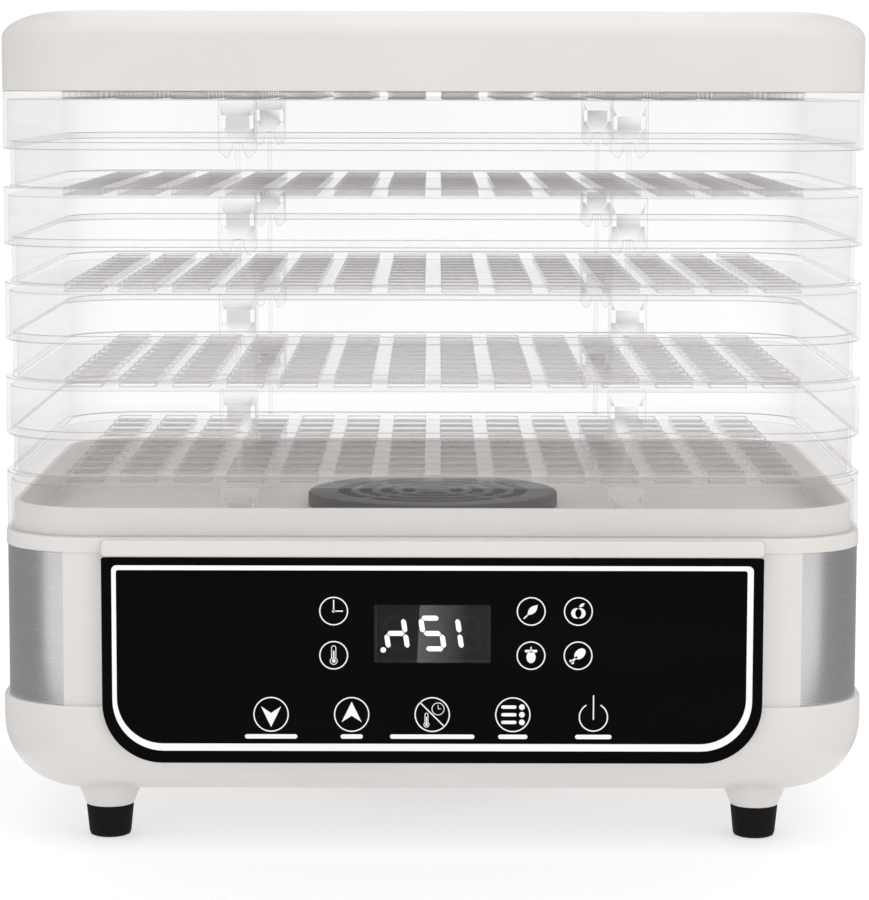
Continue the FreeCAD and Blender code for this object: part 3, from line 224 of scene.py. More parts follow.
def corner_points_path(points):
    """An anticlockwise polygon: each direction is the sum of the two sides' outward normals, divided
    by 1 plus their dot product, so that a reach moves every side by the same distance."""
    spot = np.asarray(points, float)
    ahead = np.roll(spot, -1, axis=0) - spot
    ahead = ahead / np.linalg.norm(ahead, axis=1, keepdims=True)
    normal = np.stack([ahead[:, 1], -ahead[:, 0]], axis=-1)
    before = np.roll(normal, 1, axis=0)
    share = 1 + np.sum(normal * before, axis=1, keepdims=True)
    return spot, (normal + before) / share, np.zeros(len(spot))


def loop(path, reach=0.0):
    core, way, radius = path
    return core + (radius + reach)[:, None] * way


def eased(points, radius, closed=True, steps=4):
    """A profile with rounded corners.  The corner P becomes (1-t)^2 A + 2t(1-t) P + t^2 B, where A
    and B lie on its two sides, the radius away or 0.45 of the shorter side.  The edge value is
    sin(pi t)."""
    spot = np.asarray(points, float)
    back = np.roll(spot, 1, axis=0) - spot
    ahead = np.roll(spot, -1, axis=0) - spot
    far = np.maximum(np.linalg.norm([back, ahead], axis=-1), 1e-9)
    near = np.minimum(radius, 0.45 * far.min(axis=0))
    start = spot + (near / far[0])[:, None] * back
    end = spot + (near / far[1])[:, None] * ahead
    t = np.linspace(0, 1, steps + 1)[None, :, None]
    curve = (1 - t) ** 2 * start[:, None] + 2 * t * (1 - t) * spot[:, None] + t * t * end[:, None]
    edge = np.broadcast_to(np.sin(math.pi * t), curve.shape[:2] + (1,))
    rows = np.concatenate([curve, edge], axis=2)
    if closed:
        return rows.reshape(-1, 3)
    first = np.append(spot[0], 0)[None]
    last = np.append(spot[-1], 0)[None]
    return np.concatenate([first, rows[1:-1].reshape(-1, 3), last])


def net(points, wrap_across=False, wrap_along=False):
    """The faces of a grid of points, turned outwards when across x along points outwards."""
    rows, columns = points.shape[:2]
    index = np.arange(rows * columns).reshape(rows, columns)
    if wrap_across:
        index = np.concatenate([index, index[:1]])
    if wrap_along:
        index = np.concatenate([index, index[:, :1]], axis=1)
    corners = [index[:-1, :-1], index[1:, :-1], index[1:, 1:], index[:-1, 1:]]
    return points.reshape(-1, points.shape[2]), np.stack(corners, axis=-1).reshape(-1, 4).tolist()


def swept(path, profile, closed=False, ring=True, dent=None):
    """A profile of (reach, level, edge) rows carried along a path.  dent moves each path point's
    whole profile in or out by its own reach."""
    core, way, radius = path
    reach, level, edge = np.asarray(profile).T
    extra = np.zeros(len(core)) if dent is None else dent
    far = radius[:, None] + reach[None] + extra[:, None]
    plan = core[:, None] + far[..., None] * way[:, None]
    shape = plan.shape[:2] + (1,)
    high = np.broadcast_to(level[None, :, None], shape)
    soft = np.broadcast_to(edge[None, :, None], shape)
    return net(np.concatenate([plan, high, soft], axis=2), ring, closed)


def sheet_faces(outline, holes):
    """Triangles between an outline and the convex loops inside it: a constrained Delaunay
    triangulation, less the triangles whose three corners lie on one hole."""
    loops = [outline] + list(holes)
    points = np.concatenate(loops) / MM
    counts = [len(one) for one in loops]
    starts = np.cumsum([0] + counts[:-1])
    owner = np.repeat(np.arange(len(loops)), counts)
    edges = [
        (int(start + step), int(start + (step + 1) % count))
        for start, count in zip(starts, counts)
        for step in range(count)
    ]
    flat = [Vector(point) for point in points.tolist()]
    spots, _, faces, origin = delaunay_2d_cdt(flat, edges, [], 1, 1e-6)[:4]
    first = np.array([origins[0] if origins else 0 for origins in origin])
    kept = []
    for face in faces:
        owners = {int(owner[first[corner]]) for corner in face}
        if len(owners) > 1 or owners == {0}:
            kept.append(tuple(face))
    return np.array([tuple(spot) for spot in spots]) * MM, kept


def level_rows(flat, level):
    """Plan points at one level, with no edge value."""
    return np.column_stack([flat, np.full(len(flat), level), np.zeros(len(flat))])


def flat_face(flat, faces, level, downwards=False):
    return level_rows(flat, level), [face[::-1] for face in faces] if downwards else faces


def sheet(outline, holes, low, high, ease=0.0):
    """A flat sheet between two levels, open round its outline.  A hole's wall runs down from its
    loop widened by the ease, over two loops at its true size, to the widened loop below."""
    flat, faces = sheet_faces(outline, [loop(hole, ease) for hole in holes])
    parts = [flat_face(flat, faces, high), flat_face(flat, faces, low, downwards=True)]
    upper = [
        (ease, high, 0),
        (0.6 * ease, high - 0.1 * ease, 1),
        (0, high - ease, 1),
        (0, high - 1.6 * ease, 0.1),
    ]
    profile = upper + [(reach, low + high - level, edge) for reach, level, edge in upper[::-1]]
    parts += [swept(hole, profile if ease else [profile[0], profile[-1]]) for hole in holes]
    return joined(parts)


def slab(path, low, high, ease=0.0, holes=(), back_ease=None):
    """A flat piece with a wall round its outline, its front and back edges rounded by the eases."""
    rear = ease if back_ease is None else back_ease
    if not ease and not rear:
        profile = [(0, low, 0), (0, high, 0)]
        return joined([sheet(loop(path), holes, low, high), swept(path, profile)])
    t = np.linspace(0, math.pi / 2, 4)
    below = np.column_stack([rear * (np.sin(t) - 1), low + rear * (1 - np.cos(t)), np.sin(2 * t)])
    above = np.column_stack([ease * (np.cos(t) - 1), high - ease * (1 - np.sin(t)), np.sin(2 * t)])
    wall = swept(path, np.concatenate([below, above]))
    caps = []
    for level, reach, downwards in ((high, -ease, False), (low, -rear, True)):
        flat, faces = sheet_faces(loop(path, reach), [loop(hole) for hole in holes])
        caps.append(flat_face(flat, faces, level, downwards))
    walls = [swept(hole, [(0, high, 1), (0, low, 1)]) for hole in holes]
    return joined(caps + walls + [wall])


def turned(profile, middle=(0.0, 0.0), steps=40):
    """A profile of (radius, level, edge) rows carried round an upright axis."""
    return swept(round_path(middle, 0.0, steps), profile)


def joined(parts):
    """Several surfaces as one list of points and faces."""
    points, faces, count = [], [], 0
    for rows, own in parts:
        points.append(rows)
        faces += [tuple(int(corner) + count for corner in face) for face in own]
        count += len(rows)
    return np.concatenate(points), faces


def moved(surface, east=0.0, north=0.0, up=0.0):
    rows, faces = surface
    return rows + np.array([east, north, up, 0.0]), faces


def upright(surface):
    """A quarter turn about X: (x, y, z) goes to (x, -z, y), so levels become distances forward."""
    rows, faces = surface
    return np.column_stack([rows[:, 0], -rows[:, 2], rows[:, 1], rows[:, 3]]), faces


def make_piece(name, surface, finish, body, nodes=(), strip_uv=None):
    """A welded mesh object at the origin that rides a body, with its edge values as an attribute."""
    rows, faces = surface
    mesh = bpy.data.meshes.new(name)
    mesh.from_pydata(rows[:, :3].tolist(), [], faces)
    edge = mesh.attributes.new("edge", "FLOAT", "POINT")
    edge.data.foreach_set("value", np.ascontiguousarray(rows[:, 3], dtype=np.float32))
    if strip_uv is not None:
        layer = mesh.uv_layers.new(name="along")
        corner = np.empty(len(mesh.loops), dtype=np.int32)
        mesh.loops.foreach_get("vertex_index", corner)
        layer.data.foreach_set("uv", strip_uv[corner].astype(np.float32).ravel())
    work = bmesh.new()
    work.from_mesh(mesh)
    bmesh.ops.remove_doubles(work, verts=work.verts, dist=WELD)
    bmesh.ops.dissolve_degenerate(work, edges=work.edges, dist=1e-7)
    work.to_mesh(mesh)
    work.free()
    mesh.shade_smooth()
    mesh.set_sharp_from_angle(angle=SHARP_ANGLE)
    mesh.materials.append(finish)
    piece = bpy.data.objects.new(name, mesh)
    bpy.context.scene.collection.objects.link(piece)
    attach(piece, body)
    if nodes:
        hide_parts(*nodes)
    return piece


# ---------------------------------------------------------------- finishes

class Finish:
    """A node material round one Principled shader, patterned on Object coordinates."""

    def __init__(self, name, roughness=0.4, **sockets):
        self.material = bpy.data.materials.new(name)
        self.material.use_nodes = True
        self.tree = self.material.node_tree
        self.shader = self.tree.nodes["Principled BSDF"]
        self.shader.inputs["Roughness"].default_value = roughness
        for socket, value in sockets.items():
            self.shader.inputs[socket.replace("_", " ")].default_value = value
        self.place = self.add("ShaderNodeTexCoord").outputs["Object"]

    def add(self, kind, links=(), **settings):
        node = self.tree.nodes.new(kind)
        for key, value in settings.items():
            setattr(node, key, value)
        for socket, source in links:
            if isinstance(source, bpy.types.NodeSocket):
                self.tree.links.new(source, node.inputs[socket])
            else:
                node.inputs[socket].default_value = source
        return node

    def stretched(self, scale, place=None):
        return self.add("ShaderNodeMapping", [("Vector", place or self.place), ("Scale", scale)]).outputs[0]

    def noise(self, scale, detail=4.0, place=None):
        links = [("Vector", place or self.place), ("Scale", scale), ("Detail", detail)]
        return self.add("ShaderNodeTexNoise", links).outputs["Fac"]

    def cells(self, scale, feature="F1", place=None):
        links = [("Vector", place or self.place), ("Scale", scale)]
        return self.add("ShaderNodeTexVoronoi", links, feature=feature).outputs["Distance"]

    def spread(self, source, low, high, new_low, new_high):
        links = [(0, source), (1, low), (2, high), (3, new_low), (4, new_high)]
        return self.add("ShaderNodeMapRange", links).outputs[0]

    def sum(self, kind, first, second):
        links = [(0, first), (1, second)]
        return self.add("ShaderNodeMath", links, operation=kind, use_clamp=True).outputs[0]

    def blended(self, factor, first, second):
        node = self.add("ShaderNodeMix", data_type="RGBA")
        self.tree.links.new(factor, node.inputs["Factor"])
        for socket, value in ((6, first), (7, second)):
            if isinstance(value, bpy.types.NodeSocket):
                self.tree.links.new(value, node.inputs[socket])
            else:
                node.inputs[socket].default_value = tuple(value)[:3] + (1.0,)
        return node.outputs[2]

    def mottled(self, source, first, second):
        """A blend that a noise's middle range drives all the way."""
        return self.blended(self.spread(source, 0.3, 0.7, 0, 1), first, second)

    def math(self, kind, first, second):
        return self.add("ShaderNodeMath", [(0, first), (1, second)], operation=kind).outputs[0]

    def edge(self):
        return self.add("ShaderNodeAttribute", attribute_name="edge").outputs["Fac"]

    def to(self, socket, source):
        self.tree.links.new(source, self.shader.inputs[socket])

    def bump(self, height, strength, depth):
        links = [("Height", height), ("Strength", strength), ("Distance", depth)]
        self.to("Normal", self.add("ShaderNodeBump", links).outputs[0])


def shade(value, factor):
    return tuple(min(1.0, channel * factor) for channel in value[:3])


def moulded(name, tint, roughness, grain=900.0, depth=0.00004, **sockets):
    """Moulded plastic: faint mottling, a fine skin, and edges handled a little paler."""
    finish = Finish(name, roughness, **sockets)
    mottle = finish.noise(14.0, 3.0)
    skin = finish.noise(grain, 2.0)
    base = finish.mottled(mottle, shade(tint, 0.972), shade(tint, 1.012))
    worn = finish.blended(finish.spread(finish.edge(), 0, 1, 0, 0.35), base, shade(tint, 1.06))
    finish.to("Base Color", worn)
    scuff = finish.sum("MULTIPLY", finish.spread(finish.noise(45.0, 5.0), 0.45, 0.75, 0, 1), 0.09)
    level = finish.spread(skin, 0.2, 0.8, roughness - 0.03, roughness + 0.04)
    finish.to("Roughness", finish.sum("ADD", level, scuff))
    finish.bump(skin, 0.12, depth)
    return finish.material


def clear_plastic(tint):
    """Clear moulded plastic: almost no body face on, more at a glancing view and along its edges, whose
    colour is darkened as painted shade for the dark surroundings seen through them.
    """
    finish = Finish("clear plastic", 0.07, IOR=1.5)
    tide = finish.noise(9.0, 1.0)
    edge = finish.edge()
    # Painted shade: the edge value darkens the colour to 0.42 of the tint, standing in for dark surroundings
    # refracted through the edges.
    finish.to("Base Color", finish.blended(edge, tint, shade(tint, 0.42)))
    facing = finish.add("ShaderNodeLayerWeight", [("Blend", 0.25)]).outputs["Facing"]
    body = finish.spread(facing, 0.0, 1.0, 0.05, 0.36)
    haze = finish.spread(tide, 0.3, 0.7, 0.0, 0.02)
    rim = finish.spread(edge, 0, 1, 0, 0.40)
    finish.to("Alpha", finish.sum("ADD", finish.sum("ADD", body, haze), rim))
    finish.to("Roughness", finish.spread(tide, 0.3, 0.7, 0.04, 0.11))
    return finish.material


def brushed(name, tint, scale, roughness, anisotropic, strip=False):
    """Brushed metal: noise drawn out along the brushing turns into fine grooves and gloss streaks."""
    finish = Finish(name, roughness, Metallic=1.0, Anisotropic=anisotropic)
    if strip:
        along = finish.add("ShaderNodeUVMap", uv_map="along").outputs["UV"]
        tangent = finish.add("ShaderNodeTangent", direction_type="UV_MAP", uv_map="along")
        finish.to("Tangent", tangent.outputs[0])
    else:
        along = finish.place
    grooves = finish.noise(1.0, 6.0, finish.stretched(scale, along))
    streaks = finish.noise(1.0, 3.0, finish.stretched(tuple(0.4 * part for part in scale), along))
    clouds = finish.noise(11.0, 3.0)
    base = finish.mottled(grooves, shade(tint, 0.9), shade(tint, 1.06))
    base = finish.blended(finish.spread(clouds, 0.3, 0.7, 0, 0.4), base, shade(tint, 0.95))
    finish.to("Base Color", base)
    finish.to("Roughness", finish.spread(streaks, 0.3, 0.7, roughness - 0.03, roughness + 0.04))
    finish.bump(grooves, 0.15, 0.00001)
    return finish.material


def gloss_black(tint):
    """Black gloss sheet: near-invisible wipe marks in its roughness."""
    finish = Finish("black gloss sheet", 0.12, Specular_IOR_Level=0.03)
    wipes = finish.noise(1.0, 4.0, finish.stretched((9.0, 9.0, 40.0)))
    finish.to("Base Color", finish.mottled(wipes, shade(tint, 0.8), shade(tint, 1.3)))
    finish.to("Roughness", finish.spread(wipes, 0.3, 0.7, 0.09, 0.17))
    finish.bump(finish.noise(35.0, 2.0), 0.02, 0.0001)
    return finish.material


def smoked_window(split, lean):
    """Smoked window: darker on one side of a slanted line and fading from grey on the other; the grey fade
    is a painted reflection.
    """
    finish = Finish("smoked window", 0.1, Specular_IOR_Level=0.05, Alpha=0.5)
    parts = finish.add("ShaderNodeSeparateXYZ", [("Vector", finish.place)])
    slant = finish.math("MULTIPLY", parts.outputs["Z"], lean)
    across = finish.math("SUBTRACT", parts.outputs["X"], slant)
    side = finish.spread(across, split - 0.1 * MM, split + 0.1 * MM, 0, 1)
    # Painted reflection: grey at the slanted line, fading to the dark tint over 19 mm to its right.
    reflection_fade = finish.spread(across, split, split + 19 * MM, 0, 1)
    right = finish.blended(reflection_fade, (0.16, 0.16, 0.162), (0.03, 0.03, 0.031))
    finish.to("Base Color", finish.blended(side, (0.022, 0.022, 0.023), right))
    finish.to("Roughness", finish.spread(finish.noise(80.0, 3.0), 0.3, 0.7, 0.08, 0.15))
    return finish.material


def glowing(name, tint, strength):
    """A lit segment with the diffuser's fine grain."""
    finish = Finish(name, 0.5)
    grain = finish.noise(2500.0, 2.0)
    finish.to("Base Color", finish.mottled(grain, shade(tint, 0.92), tint))
    finish.to("Emission Color", finish.mottled(grain, shade(tint, 0.94), tint))
    finish.shader.inputs["Emission Strength"].default_value = strength
    return finish.material


def soft_rubber(tint):
    """Matt rubber: a pebbled skin, a dusty bloom and paler scuffed edges."""
    finish = Finish("matt rubber", 0.7, Specular_IOR_Level=0.12)
    skin = finish.noise(700.0, 3.0)
    bloom = finish.noise(60.0, 4.0)
    base = finish.blended(finish.spread(bloom, 0.35, 0.75, 0, 0.6), tint, shade(tint, 2.2))
    scuffed = finish.spread(finish.edge(), 0, 1, 0, 0.5)
    finish.to("Base Color", finish.blended(scuffed, base, shade(tint, 3.5)))
    finish.to("Roughness", finish.spread(bloom, 0.3, 0.7, 0.62, 0.8))
    finish.bump(skin, 0.3, 0.0001)
    return finish.material


def board_green():
    """Circuit board: solder mask over a maze of tracks, with paler pads."""
    finish = Finish("circuit board", 0.35)
    tracks = finish.add(
        "ShaderNodeTexBrick",
        [("Vector", finish.stretched((260.0, 260.0, 260.0))), ("Mortar Size", 0.05), ("Scale", 1.0)],
    ).outputs["Fac"]
    pads = finish.spread(finish.cells(170.0), 0.10, 0.14, 1, 0)
    green = finish.blended(tracks, (0.012, 0.10, 0.035), (0.03, 0.17, 0.06))
    finish.to("Base Color", finish.blended(pads, green, (0.55, 0.50, 0.32)))
    finish.bump(tracks, 0.15, 0.00005)
    return finish.material


def layered_mica():
    """Mica sheet: pale flakes lying one over another."""
    finish = Finish("layered mica", 0.45)
    flakes = finish.cells(90.0)
    grain = finish.noise(300.0, 4.0)
    base = finish.blended(finish.spread(flakes, 0.1, 0.7, 0, 1), (0.52, 0.43, 0.28), (0.70, 0.62, 0.45))
    finish.to("Base Color", finish.blended(finish.spread(grain, 0.4, 0.7, 0, 0.4), base, (0.40, 0.32, 0.2)))
    finish.to("Roughness", finish.spread(flakes, 0, 0.7, 0.3, 0.55))
    finish.bump(flakes, 0.2, 0.0001)
    return finish.material


def pale_floor(tint, glow):
    """A pale table lit softly from within."""
    lit = {"Emission_Color": (1, 1, 1, 1), "Emission_Strength": glow}
    finish = Finish("pale floor", 0.6, Specular_IOR_Level=0.2, **lit)
    cloud = finish.noise(2.0, 3.0)
    finish.to("Base Color", finish.mottled(cloud, shade(tint, 0.99), tint))
    return finish.material


SHELF = {}


def finish_for(slot):
    """The material of a record slot, made once."""
    if slot in SHELF:
        return SHELF[slot]
    colours = bpy.context.scene.dehydrator_finishes
    makers = {
        "white_plastic": lambda: moulded("white plastic", colours.white, 0.32),
        "clear_plastic": lambda: clear_plastic(colours.clear),
        "steel_strip": lambda: brushed("brushed strip", colours.steel, (12, 5200, 1), 0.27, 0.3, strip=True),
        "panel": lambda: gloss_black(colours.black),
        "window": lambda: smoked_window(-9.6 * MM, 0.05),
        "digit_face": lambda: moulded("display face", (0.012, 0.012, 0.0125), 0.5),
        "rubber": lambda: soft_rubber(colours.rubber),
        "black_plastic": lambda: moulded(
            "black plastic", (0.006, 0.006, 0.008), 0.48, Specular_IOR_Level=0.2
        ),
        "circuit_board": board_green,
        "bare_steel": lambda: brushed("plated steel", (0.56, 0.57, 0.58), (40, 900, 40), 0.34, 0.3),
        "heating_wire": lambda: brushed("drawn wire", (0.30, 0.26, 0.24), (900, 60, 60), 0.5, 0.2),
        "mica": layered_mica,
        "lamp": lambda: moulded("lamp dome", (0.82, 0.82, 0.78), 0.15, Alpha=0.85),
        "screws": lambda: brushed("plated screw", (0.66, 0.66, 0.67), (300, 300, 2000), 0.28, 0.2),
        "print": lambda: moulded("white print", colours.printed, 0.45, 3000.0, 0.00001),
        "lit": lambda: glowing("lit segment", (0.93, 0.97, 1.0), 4.5),
        "unlit": lambda: moulded("unlit segment", (0.06, 0.06, 0.062), 0.4),
    }
    SHELF[slot] = makers[slot]()
    return SHELF[slot]


# ---------------------------------------------------------------- pieces

def floor_level(node):
    """The underside of a tray's floor, from its box's top."""
    sizes = bpy.context.scene.dehydrator_stack
    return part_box(node)[1][2] - sizes.collar - sizes.floor


def tray_surface(level):
    """One clear moulding.  Its skirt, step and collar are one profile carried round the rounded
    rectangle, its floor is a sheet with square openings, and clips and ribs are slabs."""
    s = bpy.context.scene.dehydrator_stack
    path = corner_path(HALF_X, HALF_Y, s.corner)
    inside = -s.step - s.wall
    border = -10 * MM
    section = [
        (border, 0),
        (-s.wall, 0),
        (-s.wall, -s.skirt),
        (0, -s.skirt),
        (0, s.floor),
        (-s.step, s.floor),
        (-s.step, s.floor + s.collar),
        (inside, s.floor + s.collar),
        (inside, s.floor),
        (border, s.floor),
    ]
    parts = [swept(path, eased(section, 0.55 * MM, closed=False))]
    cell_x = 2 * (HALF_X - s.side_margin) / s.columns
    cell_y = 2 * (HALF_Y - s.front_margin) / s.rows
    east = (np.arange(s.columns) - (s.columns - 1) / 2) * cell_x
    north = (np.arange(s.rows) - (s.rows - 1) / 2) * cell_y
    half = ((cell_x - s.bar) / 2, (cell_y - s.bar) / 2)
    holes = [corner_path(*half, 0.8 * MM, 2, (across, deep)) for across in east for deep in north]
    parts.append(sheet(loop(path, border), holes, 0.0, s.floor, 0.45 * MM))
    face = HALF_Y + inside
    for side, way in QUADRANTS:
        parts.append(clip_surface(s, side * s.clip_spread, way, face))
        middle = (side * s.clip_spread, way * (face - s.rib_depth / 2))
        rib = corner_path(s.rib / 2, s.rib_depth / 2 - 0.02 * MM, 0.5 * MM, 3, middle)
        parts.append(slab(rib, s.floor - 0.01 * MM, s.floor + s.collar, 0.3 * MM))
    return moved(joined(parts), up=level)


def clip_surface(s, middle, way, face):
    """A hanging plate with a flared notch and two windows, 0.9 mm inside the collar below."""
    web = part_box("tray_1")[1][2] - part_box("tray_2")[1][2] - s.floor - s.collar
    half, drop, cut, mouth, lean = s.clip_width / 2, s.clip_drop, 1.7 * MM, 3.5 * MM, 2.6 * MM
    shape = [
        (-half, 0),
        (-half, lean - drop),
        (lean - half, -drop),
        (-mouth, -drop),
        (-cut, -web - 2 * MM),
        (-cut, -web),
        (cut, -web),
        (cut, -web - 2 * MM),
        (mouth, -drop),
        (half - lean, -drop),
        (half, lean - drop),
        (half, 0),
    ]
    path = corner_points_path([(middle + across, up) for across, up in shape])
    windows = [
        corner_path(0.85 * MM, 2.5 * MM, 0.3 * MM, 2, (middle + side * 5.3 * MM, -8.4 * MM))
        for side in SIDES
    ]
    near = face - 0.9 * MM
    rows, faces = upright(slab(path, near - 1.6 * MM, near, 0.2 * MM, windows))
    if way > 0:
        rows = rows * np.array([1, -1, 1, 1])
        faces = [tuple(corner)[::-1] for corner in faces]
    return rows, faces


def lid_surface():
    """The lid: an upright wall, an edge along an ellipse and a flat top with slots.  The inside is
    the same shape one wall thickness in."""
    s = bpy.context.scene.dehydrator_stack
    low, high = LID_LOW[2], LID_HIGH[2]
    path = corner_path(HALF_X, HALF_Y, s.corner, 16)
    border = -30 * MM
    t = np.linspace(0, math.pi / 2, 16)
    outer = np.column_stack([
        s.lid_across * (np.cos(t) - 1),
        high - s.lid_down * (1 - np.sin(t)),
        0.25 * np.sin(2 * t),
    ])
    inner = np.column_stack([
        -s.lid_wall + (s.lid_across - s.lid_wall) * (np.cos(t) - 1),
        high - s.lid_wall - (s.lid_down - s.lid_wall * 0.4) * (1 - np.sin(t)),
        0 * t,
    ])[::-1]
    rise = low + 6 * MM
    foot = eased([(-s.lid_wall, rise), (-s.lid_wall, low), (0, low), (0, rise)], 0.5 * MM, False)
    under, seam = [(border, high - s.lid_wall, 0)], [(border, high, 0)]
    ring = swept(path, np.concatenate([under, inner, foot, outer, seam]))
    levels = (np.arange(s.vents) - (s.vents - 1) / 2) * 8 * MM
    slots = [corner_path(35 * MM, 1.5 * MM, 1.45 * MM, 5, (0, level)) for level in levels]
    top = sheet(loop(path, border), slots, high - s.lid_wall, high, 0.35 * MM)
    return joined([ring, top])


def square_ring(near, far, low, high):
    """A closed rectangular profile with no edge value."""
    return [(near, low, 0), (far, low, 0), (far, high, 0), (near, high, 0), (near, low, 0)]


def deck_surface():
    """The white top of the base: rim, collar, deck plate with the air hole, and the clip seats."""
    s, b = bpy.context.scene.dehydrator_stack, bpy.context.scene.dehydrator_base
    path = corner_path(HALF_X, HALF_Y, s.corner, 16)
    low, high = STRIP_HIGH[2], RIM_HIGH[2]
    shoulder = low + b.rim
    inside = -s.step - b.deck_wall
    border = -10 * MM
    section = [
        (border, low),
        (b.rim_proud, low),
        (b.rim_proud, shoulder),
        (-s.step, shoulder),
        (-s.step, high),
        (inside, high),
        (inside, low + b.deck),
        (border, low + b.deck),
    ]
    ease = np.array([0, 0.3, 1.3, 0.6, 0.8, 0.8, 1.0, 0]) * MM
    parts = [swept(path, eased(section, ease, closed=False, steps=5))]
    holes = [round_path((0, 0), 43 * MM, 64), round_path((0, -78 * MM), 2.6 * MM, 20)]
    parts.append(sheet(loop(path, border), holes, low, low + b.deck, 0.4 * MM))
    face = HALF_Y + inside
    for side, way in QUADRANTS:
        middle = (side * s.clip_spread, way * (face - s.rib_depth / 2))
        seat = corner_path(s.rib / 2, s.rib_depth / 2, 0.5 * MM, 3, middle)
        parts.append(slab(seat, low + b.deck - 0.01 * MM, shoulder + 3.35 * MM, 0.3 * MM))
        boss = square_ring(2.1 * MM, 5 * MM, 80 * MM, 116.01 * MM)
        parts.append(turned(boss, (side * BORE_EAST, way * BORE_NORTH), 24))
    parts.append(turned(square_ring(52.3 * MM, 61 * MM, 109.5 * MM, 116.01 * MM), steps=72))
    return joined(parts)


def guard_surface():
    """The fan guard: a walled outer ring, three slim rings and a hub, each a profile turned about the
    fan's axis, tied by four spokes."""
    low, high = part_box("fan_guard")
    base, top, radius = low[2], high[2], high[0]
    plate = 2 * MM
    outer = [
        (0.76 * radius, top - plate),
        (radius - 2.5 * MM, top - plate),
        (radius - 2.5 * MM, base),
        (radius, base),
        (radius, top),
        (0.76 * radius, top),
    ]
    ease = np.array([0, 0.6, 0.3, 0.3, 1.6, 0.6, 0]) * MM
    parts = [turned(eased(outer + outer[:1], ease, False), steps=96)]
    for near, far in ((0.25, 0.32), (0.42, 0.49), (0.59, 0.66)):
        ring = [row[:2] for row in square_ring(near * radius, far * radius, top - plate, top)]
        parts.append(turned(eased(ring, 0.5 * MM, False), steps=72))
    hub = [(0, top - plate), (0.15 * radius, top - plate), (0.15 * radius, top), (0, top)]
    parts.append(turned(eased(hub, 0.6 * MM, False), steps=48))
    for quarter in range(4):
        way = directions((quarter + 0.5) * math.pi / 2)
        spoke = capsule_path(0.13 * radius * way, 0.79 * radius * way, 2.2 * MM)
        parts.append(slab(spoke, top - plate + 0.1 * MM, top - 0.1 * MM, 0.4 * MM))
    return joined(parts)


def band_path(half_x, half_y, corner, start, rear, steps=16):
    """The rounded rectangle with doubled points where the steel strips begin and end, and for each
    point 1 where the wall is let in for the steel."""
    core, way, radius = corner_path(half_x, half_y, corner, steps)
    core, way = core.reshape(4, -1, 2), way.reshape(4, -1, 2)
    cut = math.pi / 2 - start
    turn = np.linspace(0, math.pi / 2, steps + 1)
    left_turn = math.pi + np.sort(np.append(turn, [cut, cut]))
    right_turn = 1.5 * math.pi + np.sort(np.append(turn, [start, start]))
    left = np.arange(len(left_turn)) <= np.searchsorted(left_turn, math.pi + cut - 1e-9)
    right = np.arange(len(right_turn)) > np.searchsorted(right_turn, 1.5 * math.pi + start - 1e-9)
    end = half_x - corner
    cores = [
        core[0],
        core[1],
        np.array([[-end, rear], [-end, rear]]),
        np.tile(core[2, 0], (len(left_turn), 1)),
        np.tile(core[3, 0], (len(right_turn), 1)),
        np.array([[end, rear], [end, rear]]),
    ]
    ways = [
        way[0],
        way[1],
        np.array([[-1.0, 0.0], [-1.0, 0.0]]),
        directions(left_turn),
        directions(right_turn),
        np.array([[1.0, 0.0], [1.0, 0.0]]),
    ]
    plain = np.zeros(steps + 1)
    marks = [plain, plain, [0, 1], left, right, [1, 0]]
    core, way = np.concatenate(cores), np.concatenate(ways)
    return (core, way, np.full(len(core), corner)), np.concatenate(marks).astype(float)


def housing_surface():
    """The white tub: a flat bottom, a quarter-round edge, the standing-out lower wall, the ledge and
    the upper wall, which is let in where the steel strips lie."""
    s, b = bpy.context.scene.dehydrator_stack, bpy.context.scene.dehydrator_base
    ledge, top = STRIP_LOW[2], STRIP_HIGH[2]
    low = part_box("intake_grille")[0][2]
    path, let_in = band_path(HALF_X, HALF_Y, s.corner, b.band_start, STRIP_HIGH[1])
    border = b.grow - b.bottom_round - 3 * MM
    t = np.linspace(0, math.pi / 2, 14)
    outer = np.column_stack([
        b.grow - b.bottom_round * (1 - np.sin(t)),
        low + b.bottom_round * (1 - np.cos(t)),
        0 * t,
    ])
    inner_radius = b.bottom_round - b.wall
    inner = np.column_stack([
        b.grow - b.wall - inner_radius * (1 - np.sin(t)),
        low + b.bottom_round - inner_radius * np.cos(t),
        0 * t,
    ])[::-1]
    back = -STEEL_THICK - b.upper_wall
    step = eased([
        (b.grow, low + b.bottom_round),
        (b.grow, ledge),
        (0, ledge),
    ], 1.3 * MM, closed=False, steps=5)
    wall_in = [
        (back, top, 0),
        (back, ledge - b.wall, 0),
        (b.grow - b.wall, ledge - b.wall, 0),
        (b.grow - b.wall, low + b.bottom_round, 0),
    ]
    lower = np.concatenate([[(border, low, 0)], outer, step[1:]])
    parts = [
        swept(path, lower),
        swept(path, [(0, ledge, 0), (0, top, 0)], dent=-STEEL_THICK * let_in),
        swept(path, [(0, ledge, 0), (-STEEL_THICK, ledge, 0)]),
        swept(path, [(0, top, 0), (back, top, 0)]),
        swept(path, np.concatenate([wall_in, inner, [(border, low + b.wall, 0)]])),
    ]
    bores = [round_path((e * BORE_EAST, n * BORE_NORTH), BORE_RADIUS, 20) for e, n in QUADRANTS]
    holes = [round_path((0, 0), b.intake / 2, 72)] + bores
    parts.append(sheet(loop(path, border), holes, low, low + b.wall, 0.3 * MM))
    foot_top = FOOT_HIGH[2] - 5 * MM
    rise = 3 * MM
    stub = 9.25 * MM
    slope = (b.stub_top / 2 - stub) / (low - foot_top)
    wide = stub + slope * (low + rise - foot_top)
    cone = [(0, foot_top), (stub, foot_top), (wide, low + rise), (0, low + rise)]
    cone = eased(cone, 0.5 * MM, closed=False)
    for east, north in QUADRANTS:
        parts.append(turned(cone, (east * b.foot_spread, north * b.foot_reach), 40))
    return joined(parts)


